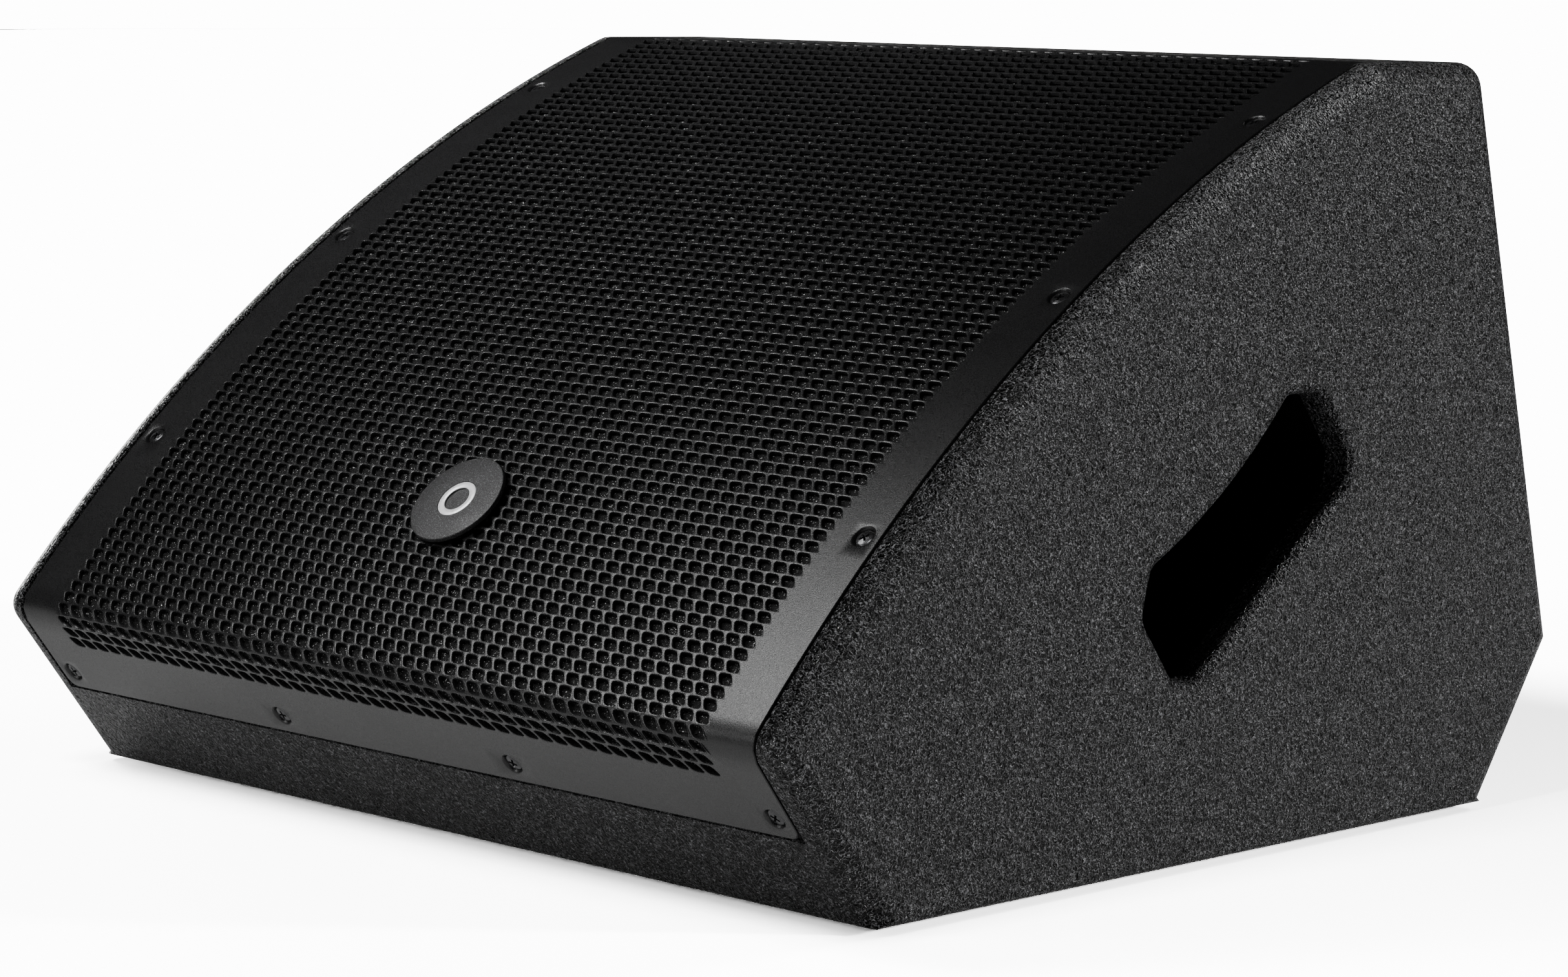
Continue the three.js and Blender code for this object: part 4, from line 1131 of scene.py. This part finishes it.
def flange(shape, outer):
    """The sides of a plate or flange: returns its underside loop and its face loop."""
    under = shape.ring(at_height(*outer[0]))
    return under, carry(shape, under, outer[1:])


def hole_down(shape, points, top, lip, floor, closed=True):
    """Sinks a hole with a chamfered mouth; returns its mouth and its last loop."""
    mouth = shape.ring(at_height(moved_out(points, lip), top))
    last = carry(shape, mouth, [(points, top - lip), (points, floor)])
    if closed:
        shape.cap(last)
    return mouth, last


def cut_back_panel():
    wide, tall, radius = (PLATE[k] + REBATE["room"] for k in ("half_x", "half_y", "round"))
    rings = [(rounded_rect(wide, tall, radius), REBATE["floor"])]
    for a in spread(0, math.pi / 2, 4):
        flare = REBATE["edge"] * (1 - math.cos(a))
        rings.append((rounded_rect(wide + flare, tall + flare, radius + flare),
                      REBATE["edge"] * (math.sin(a) - 1)))
    over = REBATE["over"]
    rings.append((rounded_rect(wide + over, tall + over, radius + over), REBATE["top"]))
    opening = [(rounded_rect(*OPENING["outline"]), z) for z in (OPENING["from"], OPENING["to"])]
    for cutter in (rings, opening):
        cut_away(boards["back_panel"], slab(cutter).make("cutter", MATERIALS["coating"], on_plate))


def build_amp_panel():
    shape = Shape()
    outer = plate_rings(*(PLATE[k] for k in ("half_x", "half_y", "round", "back", "face", "edge")))
    back, face = flange(shape, outer)
    holes = [rounded_rect(*size, *SPOTS[name]) for name, size in BOX_HOLES.items()]
    holes += [circle_points(radius, *SPOTS[name]) for name, radius in ROUND_HOLES.items()]
    mouths, ends = [], []
    for points in holes:
        mouth, end = hole_down(shape, points, PLATE["face"], PLATE["lip"], PLATE["back"], closed=False)
        mouths.append(mouth)
        ends.append(end)
    for k in range(FIN["count"]):
        x = FIN["first"] + k * FIN["pitch"]
        rings = []
        for out, up in FIN_PROFILE:
            half = FIN["half_x"] + out
            points = rounded_rect(half, FIN["half_y"] + out, half - FIN["flat"], x)
            rings.append((points, PLATE["face"] + up))
        foot = shape.ring(at_height(*rings[0]))
        shape.cap(carry(shape, foot, rings[1:]))
        mouths.append(foot)
    shape.fill(face, *mouths)
    shape.fill(back, *ends)
    piece(shape, "finned_plate", "amp_cast", "amp_plate", place=on_plate, sharp=40)


cut_back_panel()
build_amp_panel()
for k, (sx, sy) in enumerate(((-1, -1), (-1, 1), (1, -1), (1, 1)), start=1):
    corner_place = on_plate_at(sx * PLATE_SCREW[0], sy * PLATE_SCREW[1])
    cross_screw(f"panel_screw_{k}", corner_place, "panel", 0, 0.4 + k, f"plate_screw_{k}")

# ---- sockets
SOCKET = {"half_x": 13, "half_y": 15.5, "round": 3, "face": 1.8, "barrel": 11.6, "narrow": 10.4,
          "end": -24, "edge": 0.5, "chamfer": 1}
COLLAR = [(0.6, 0), (0.55, 0.35), (0.35, 0.5), (0.1, 0.5), (0, 0.35)]
SLOT = {"inner": 7.6, "outer": 9.7, "floor": -14, "island": 1.3, "edge": 0.4}
CONTACT = {"radius": 1.6, "circle": 3.8, "floor": -12, "lip": 0.35, "first": {"input": 90, "link": 30}}
LATCH = {"y": 12.5, "half_x": 4.2, "half_y": 1.5, "round": 0.7, "play": 0.4, "window_round": 0.6,
         "bottom": -1, "top": 3, "edge": 0.45, "lip": 0.2}
KEY_DIMPLE = [((3.2, 0.62, 0.4), 0), ((2.9, 0.4, 0.3), 0.35)]
LINK_ROOM = {"radius": 9.6, "floor": -13}
PIN = {"radius": 1.15, "top": -2.5}
PIN_ROOT = 0.02
PIN_TIP = [(0, 0.6), (0.15, 0.2), (0.5, 0)]
FLANGE_SCREW = {"x": 9.6, "y": 12.3, "seat": 0.25}


def collar_mouth(shape, radius, face, floor):
    """A raised lip round a round opening; returns its foot and the opening's last loop."""
    foot = shape.ring(at_height(circle_points(radius + COLLAR[0][0]), face))
    steps = [(circle_points(radius + out), face + up) for out, up in COLLAR[1:]]
    return foot, carry(shape, foot, steps + [(circle_points(radius), floor)])


def barrel(shape, under, radius, *openings):
    """The round body behind a socket's flange, with a chamfered end."""
    root = shape.ring(at_height(circle_points(radius), SEAT))
    shape.fill(under, root, *openings)
    chamfer = SOCKET["chamfer"]
    shape.cap(carry(shape, root, [(circle_points(radius), SOCKET["end"] + chamfer),
                                  (circle_points(radius - chamfer), SOCKET["end"])]))


def socket_flange(shape):
    half_x, half_y, radius, face, edge = (SOCKET[k] for k in ("half_x", "half_y", "round", "face", "edge"))
    return flange(shape, plate_rings(half_x, half_y, radius, SEAT, face, edge))


def contact_spots(name):
    for k in range(3):
        angle = math.radians(CONTACT["first"][name] + 120 * k)
        yield CONTACT["circle"] * math.cos(angle), CONTACT["circle"] * math.sin(angle)


def build_signal_socket():
    shape = Shape()
    under, face = socket_flange(shape)
    foot, floor = collar_mouth(shape, SLOT["outer"], SOCKET["face"], SLOT["floor"])
    inner, island, edge = SLOT["inner"], SLOT["island"], SLOT["edge"]
    top = carry(shape, floor, [(circle_points(inner), SLOT["floor"]), (circle_points(inner), island - edge),
                               (circle_points(inner - edge), island)])
    contacts = []
    for x, y in contact_spots("input"):
        points = circle_points(CONTACT["radius"], x, y, 20)
        contacts.append(hole_down(shape, points, island, CONTACT["lip"], CONTACT["floor"])[0])
    shape.fill(top, *contacts)
    play = LATCH["play"]
    window = rounded_rect(LATCH["half_x"] + play, LATCH["half_y"] + play, LATCH["window_round"],
                          0, LATCH["y"])
    mouth, end = hole_down(shape, window, SOCKET["face"], LATCH["lip"], SEAT, closed=False)
    shape.fill(face, foot, mouth)
    barrel(shape, under, SOCKET["narrow"], end)
    return shape


def build_link_socket():
    shape = Shape()
    under, face = socket_flange(shape)
    foot, floor = collar_mouth(shape, LINK_ROOM["radius"], SOCKET["face"], LINK_ROOM["floor"])
    shape.cap(floor)
    shape.fill(face, foot)
    barrel(shape, under, SOCKET["barrel"])
    return shape


def build_pins(spots, outline_of, floor, top):
    """Metal contacts that stand on a socket's floor, with softened tips."""
    shape = Shape()
    for x, y in spots:
        root = shape.ring(at_height(outline_of(x, y, 0), floor + PIN_ROOT))
        shape.cap(root)
        shape.cap(carry(shape, root, [(outline_of(x, y, inset), top - down) for inset, down in PIN_TIP]))
    return shape


def fitting(shape, name, slot, place, *nodes, sharp=FITTING_SHARP, **options):
    piece(shape, name, slot, *nodes, place=place, sharp=sharp, **options)


def pin_outline(x, y, inset):
    return circle_points(PIN["radius"] - inset, x, y, 16)


def plastic_fitting(shape, name, place, *nodes, **options):
    fitting(shape, name, "black_plastic", place, *nodes, **options)


spot = {name: on_plate_at(*place) for name, place in SPOTS.items()}
plastic_fitting(build_signal_socket(), "signal_socket", spot["input"], "input_socket")
plastic_fitting(build_link_socket(), "link_socket_shell", spot["link"], "link_socket")
link_pins = build_pins(contact_spots("link"), pin_outline, LINK_ROOM["floor"], PIN["top"])
fitting(link_pins, "link_pins", "zinc_steel", spot["link"], material=PIN_METAL)
tab_rings = plate_rings(*(LATCH[k] for k in ("half_x", "half_y", "round", "bottom", "top", "edge")),
                        0, LATCH["y"])
tab_rings += [(rounded_rect(*size, 0, LATCH["y"]), LATCH["top"] - down) for size, down in KEY_DIMPLE]
fitting(slab(tab_rings), "release_key", "zinc_steel", spot["input"], "socket_release_tab",
        body="release_tab")
for name in ("input", "link"):
    for k, side in enumerate((-1, 1), start=1):
        x, y = SPOTS[name]
        screw_place = on_plate_at(x + side * FLANGE_SCREW["x"], y - side * FLANGE_SCREW["y"])
        cross_screw(f"{name}_flange_screw_{k}", screw_place, "flange",
                    SOCKET["face"] + FLANGE_SCREW["seat"], 0.9 * k)

# ---- mains inlet and power rocker
INLET = {"face": 2, "end": -22, "floor": -15, "body": (15.5, 11.5, 1), "ear_x": 20.4, "blade_top": -3,
         "screw_seat": 0.3, "flange_round": 3, "room_round": 1.2}
INLET_FLANGE = [(25, -5), (25, 5), (16.5, 14), (-16.5, 14), (-25, 5), (-25, -5), (-16.5, -14),
                (16.5, -14)]
INLET_EDGE = [(0, 0.6), (-0.18, 0.18), (-0.6, 0)]
INLET_ROOM = [(12.4, -8.4), (12.4, 3.8), (7.8, 8.4), (-7.8, 8.4), (-12.4, 3.8), (-12.4, -8.4)]
BLADES = [(-7, -2.2), (7, -2.2), (0, 2.6)]
BLADE = {"half_x": 1, "half_y": 2, "round": 0.3}
ROCKER_FRAME = {"half": (11, 15), "round": 1.5, "face": 1.6, "body": (9.6, 13, 1), "end": -16,
                "room": (7.6, 11.4, 0.6), "floor": -8, "edge": 0.5}
ROOM_LIP = 0.5


def polygon(points, radius, grow=0.0):
    loop = softened([Vector(p) for p in points], radius, steps=4)
    return moved_out(loop, grow)


def framed(outer, room, size):
    """A flanged box behind the plate with an open room in its face."""
    shape = Shape()
    under, top = flange(shape, outer)
    mouth = hole_down(shape, room, size["face"], ROOM_LIP, size["floor"])[0]
    shape.fill(top, mouth)
    box = rounded_rect(*size["body"])
    root = shape.ring(at_height(box, SEAT))
    shape.fill(under, root)
    shape.cap(carry(shape, root, [(box, size["end"])]))
    return shape


def blade_outline(x, y, inset):
    return rounded_rect(BLADE["half_x"] - inset, BLADE["half_y"] - inset, BLADE["round"], x, y, steps=2)


inlet_rings = [(polygon(INLET_FLANGE, INLET["flange_round"]), SEAT)]
for grow, down in INLET_EDGE:
    inlet_rings.append((polygon(INLET_FLANGE, INLET["flange_round"], grow), INLET["face"] - down))
inlet = framed(inlet_rings, polygon(INLET_ROOM, INLET["room_round"]), INLET)
plastic_fitting(inlet, "inlet_shell", spot["inlet"], "mains_inlet")
blades = build_pins(BLADES, blade_outline, INLET["floor"], INLET["blade_top"])
fitting(blades, "inlet_blades", "zinc_steel", spot["inlet"], material=PIN_METAL)
for k, side in enumerate((-1, 1), start=1):
    x, y = SPOTS["inlet"]
    cross_screw(f"inlet_screw_{k}", on_plate_at(x + side * INLET["ear_x"], y), "inlet",
                INLET["face"] + INLET["screw_seat"], 0.7 * k)

frame_rings = plate_rings(*ROCKER_FRAME["half"], ROCKER_FRAME["round"], SEAT, ROCKER_FRAME["face"],
                          ROCKER_FRAME["edge"])
rocker_frame = framed(frame_rings, rounded_rect(*ROCKER_FRAME["room"]), ROCKER_FRAME)
plastic_fitting(rocker_frame, "rocker_bezel", spot["rocker"], "rocker_frame")

PADDLE = {"half_y": 10, "half_x": 7.1, "pivot": -1, "end": 3.6, "middle": 2.4, "foot": -2.5, "belly": -5,
          "corner": 0.9}
PADDLE_EDGE = [(0.5, 0), (0.15, 0.15), (0, 0.5)]
ROCKER_TILT = math.radians(9)
MARK = {"y": 5.6, "stroke": (0.35, 1.6, 0.2), "ring": (1.6, 1.0)}


def paddle_top(y):
    return PADDLE["middle"] + (PADDLE["end"] - PADDLE["middle"]) * (y / PADDLE["half_y"]) ** 2


def on_paddle(x, y, z):
    c, s = math.cos(ROCKER_TILT), math.sin(ROCKER_TILT)
    return spot["rocker"](x, y * c + z * s, z * c - y * s + PADDLE["pivot"])


def build_paddle():
    half = PADDLE["half_y"]
    top = [Vector((y, paddle_top(y))) for y in spread(half, -half, 16)]
    low = [Vector(p) for p in ((-half, PADDLE["foot"]), (0, PADDLE["belly"]), (half, PADDLE["foot"]))]
    loop = softened(low + top, PADDLE["corner"], steps=4)
    shape = Shape()
    rings = []
    for side, edge in ((-1, PADDLE_EDGE), (1, PADDLE_EDGE[::-1])):
        for inset, back in edge:
            x = side * (PADDLE["half_x"] - back)
            rings.append([(x, p.x, p.y) for p in moved_out(loop, -inset)])
    made = shape.loft(rings)
    shape.fill(made[0])
    shape.fill(made[-1])
    return shape


def printed(shape, outer, inner=None, height=lambda y: PLATE["face"]):
    """Adds one thin printed mark that follows a surface."""

    def level(points, lift):
        return shape.ring([(p.x, p.y, height(p.y) + lift) for p in points])

    tops, bottoms = [], []
    for points in (outer, inner):
        if points is not None:
            tops.append(level(points, PRINT["rise"]))
            bottoms.append(level(points, PRINT["sunk"]))
            shape.bridge(tops[-1], bottoms[-1])
    shape.fill(*tops)
    shape.fill(*bottoms)


plastic_fitting(build_paddle(), "rocker_key", on_paddle, "rocker_paddle", body="rocker")
paddle_marks = Shape()
printed(paddle_marks, rounded_rect(*MARK["stroke"], 0, MARK["y"], steps=2), height=paddle_top)
printed(paddle_marks, *(circle_points(radius, 0, -MARK["y"], 28) for radius in MARK["ring"]),
        height=paddle_top)
plastic_fitting(paddle_marks, "rocker_marks", on_paddle, body="rocker", material=MARKS)

# ---- level knob, mode button, status lamp, marks
KNOB = {"radius": 10, "top": 13, "shaft": 3, "shaft_end": -8, "flutes": 22, "flute": 0.45, "sides": 176}
# Steps outwards, height and share of the flutes' depth.
KNOB_PROFILE = [(0, 0.55, 0), (0, 2.0, 0), (-0.35, 2.4, 0), (-0.45, 2.9, 1), (-0.85, 11.2, 1),
                (-1.2, 12.2, 0.6), (-1.9, 12.8, 0), (-2.6, 12.9, 0), (-3.1, 12.65, 0)]
POINTER = {"half_x": 0.55, "half_y": 2.2, "round": 0.5, "foot": 12.2, "sunk": 0.02, "edge": 0.15, "y": 5.4}
TICKS = 11
TICK_SWEEP = 150
TICK = {"start": 12.4, "long": 0.9, "short": 0.5, "half": 0.22, "round": 0.15}
ARROW = {"above": 4.5, "half": 2.2, "back": 1.5, "tip": 1.9, "round": 0.4}
# Each turned piece of the plate: its spot, the nodes it stands for, its body, its slot, its sides
# and its profile.
TURNED = {
    "mode_key": ("button", ["mode_button"], "button", "black_plastic", 40, [
        (0, -7), (3.4, -7), (3.4, 2.9), (3.25, 3.3), (2.9, 3.5), (2.3, 3.55), (1.4, 3.4), (0, 3.32)]),
    "mode_collar": ("button", [], "cabinet", "black_plastic", 40, [
        (3.75, SEAT), (5.6, SEAT), (5.5, 0.1), (5.1, 0.45), (4.3, 0.45), (3.85, 0.2)]),
    "status_lens": ("lamp", ["status_lamp"], "cabinet", "lamp", 32, [
        (0, -5), (2.4, -5), (2.4, 0.4), (2.2, 1.0), (1.75, 1.5), (1.1, 1.85), (0, 2)]),
    "status_bezel": ("lamp", [], "cabinet", "zinc_steel", 36, [
        (2.5, SEAT), (4.1, SEAT), (4.05, 0.2), (3.7, 0.7), (3.1, 0.8), (2.55, 0.5)]),
}


def build_knob():
    def loop(out, flute):
        points = []
        for a in spread(0, 2 * math.pi, KNOB["sides"])[:-1]:
            dent = KNOB["flute"] * (0.5 + 0.5 * math.cos(a * KNOB["flutes"]))
            radius = KNOB["radius"] + out - flute * dent
            points.append(Vector((radius * math.cos(a), radius * math.sin(a))))
        return points

    shape = Shape()
    shaft = circle_points(KNOB["shaft"], sides=KNOB["sides"])
    stem = shape.ring(at_height(shaft, KNOB["shaft_end"]))
    shape.cap(stem)
    steps = [(shaft, KNOB_PROFILE[0][1])] + [(loop(out, flute), z) for out, z, flute in KNOB_PROFILE]
    shape.cap(carry(shape, stem, steps))
    return shape


plastic_fitting(build_knob(), "level_dial", spot["knob"], "level_knob", body="knob", sharp=50)
pointer = plate_rings(POINTER["half_x"], POINTER["half_y"], POINTER["round"], POINTER["foot"],
                      KNOB["top"] - POINTER["sunk"], POINTER["edge"], 0, POINTER["y"])
plastic_fitting(slab(pointer), "level_pointer", spot["knob"], body="knob", material=MARKS)
for name, (at, nodes, body, slot, sides, profile) in TURNED.items():
    fitting(lathe(profile, sides), name, slot, spot[at], *nodes, body=body)

marks = Shape()
for k in range(TICKS):
    turn = Matrix.Rotation(math.radians(90 - TICK_SWEEP + 2 * TICK_SWEEP * k / (TICKS - 1)), 2)
    reach = TICK["long"] if k in (0, TICKS // 2, TICKS - 1) else TICK["short"]
    flat = rounded_rect(reach, TICK["half"], TICK["round"], TICK["start"] + reach, steps=2)
    printed(marks, [turn @ p + Vector(SPOTS["knob"]) for p in flat])
for name, way in (("input", -1), ("link", 1)):
    x, y = SPOTS[name][0], SPOTS[name][1] + SOCKET["half_y"] + ARROW["above"]
    back = y - way * ARROW["back"]
    arrow = [(x - way * ARROW["half"], back), (x + way * ARROW["half"], back), (x, y + way * ARROW["tip"])]
    printed(marks, softened([Vector(p) for p in arrow], ARROW["round"], steps=3))
plastic_fitting(marks, "plate_marks", on_plate, material=MARKS)

# ---- feet
FOOT_X = 165
FOOT_SIDES = 56
FOOT_Y = {"front": FRONT_FOOT_Y, "rear": 308}
FOOT_PROFILE = [(0, -1.4), (4.4, -1.4), (4.6, -2.7), (5.0, -3), (11.6, -3), (12.5, -2.7), (12.9, -2.1),
                (13, -1.2), (12.8, -0.05), (0, -0.05)]


def foot_place(x, y):
    return lambda u, v, w: row(x + u, y + v, w)


for end, y in FOOT_Y.items():
    for side, sign in (("right", 1), ("left", -1)):
        piece(lathe(FOOT_PROFILE, FOOT_SIDES), f"foot_pad_{end}_{side}", "foot_rubber",
              f"foot_{end}_{side}", place=foot_place(sign * FOOT_X, y))

# ---- stage, light and camera
CAMERA_AT = (1240.4, -1081.6, 335.9)
CAMERA_FORWARD = Vector((-0.69648, 0.70731, -0.12094))
CAMERA_RIGHT = Vector((0.71110, 0.70292, 0.01585))
LENS = 99.49
SENSOR = 36
CLIP = (0.05, 60)
FLOOR_HALF = 14

camera = bpy.data.objects.new("camera", bpy.data.cameras.new("camera"))
scene.collection.objects.link(camera)
forward = CAMERA_FORWARD.normalized()
right = (CAMERA_RIGHT - forward * CAMERA_RIGHT.dot(forward)).normalized()
up = right.cross(forward)
camera.matrix_world = Matrix((
    (right.x, up.x, -forward.x, 0),
    (right.y, up.y, -forward.y, 0),
    (right.z, up.z, -forward.z, 0),
    (0, 0, 0, 1),
))
camera.location = row(*CAMERA_AT)
camera.data.lens = LENS
camera.data.sensor_width = SENSOR
camera.data.clip_start, camera.data.clip_end = CLIP
scene.camera = camera


# Each light: place, target, width, height, power in watts and spread in degrees.
LIGHTS = {
    "side_key": ((2.02, 1.1, 0.68), (0.3, 0, 0.17), 0.2, 0.2, 2.15, 40),
    "front_key": ((0.15, -1.2, 1.7), (0, -0.05, 0.15), 0.4, 0.4, 8, 120),
    "left_box": ((-0.38, -0.50, 0.76), (0.1, -0.18, 0.12), 0.26, 0.36, 1.95, 120),
    "top_box": ((-0.62, -0.62, 1.10), (-0.10, 0.16, 0.32), 0.2, 0.2, 1.25, 34),
    "front_box": ((-0.55, -1.5, 0.55), (-0.05, -0.3, 0), 0.5, 0.5, 1.7, 90),
    "rear_fill": ((0.5, 2.2, 1.3), (0, 0, 0.15), 0.9, 0.7, 5, 90),
    "left_fill": ((-2.2, 0.6, 0.34), (0, 0.1, 0.15), 0.7, 0.5, 2, 60),
}
for name, (at, target, width, height, power, spread_angle) in LIGHTS.items():
    data = bpy.data.lights.new(name, "AREA")
    data.shape = "RECTANGLE"
    data.size, data.size_y = width, height
    data.energy = power
    data.spread = math.radians(spread_angle)
    light = bpy.data.objects.new(name, data)
    scene.collection.objects.link(light)
    light.location = at
    light.rotation_euler = (Vector(target) - Vector(at)).to_track_quat("-Z", "Y").to_euler()

world = bpy.data.worlds.new("studio")
world.use_nodes = True
background = world.node_tree.nodes["Background"]
background.inputs["Color"].default_value = (1, 1, 1, 1)
background.inputs["Strength"].default_value = 14.0
world.cycles_visibility.diffuse = False
world.cycles_visibility.glossy = False
scene.world = world

floor_finish = Finish("pale_floor", roughness=0.7, specular=0.2)
floor_finish.colour(floor_finish.noise(3, detail=2), [(0.3, grey(0.83)), (0.7, grey(0.86))])
floor_mesh = bpy.data.meshes.new("floor")
floor_corners = [(x * FLOOR_HALF, y * FLOOR_HALF, 0) for x, y in ((-1, -1), (1, -1), (1, 1), (-1, 1))]
floor_mesh.from_pydata(floor_corners, [], [(0, 1, 2, 3)])
floor = bpy.data.objects.new("floor", floor_mesh)
scene.collection.objects.link(floor)
floor_mesh.materials.append(floor_finish.material)
floor.is_shadow_catcher = True
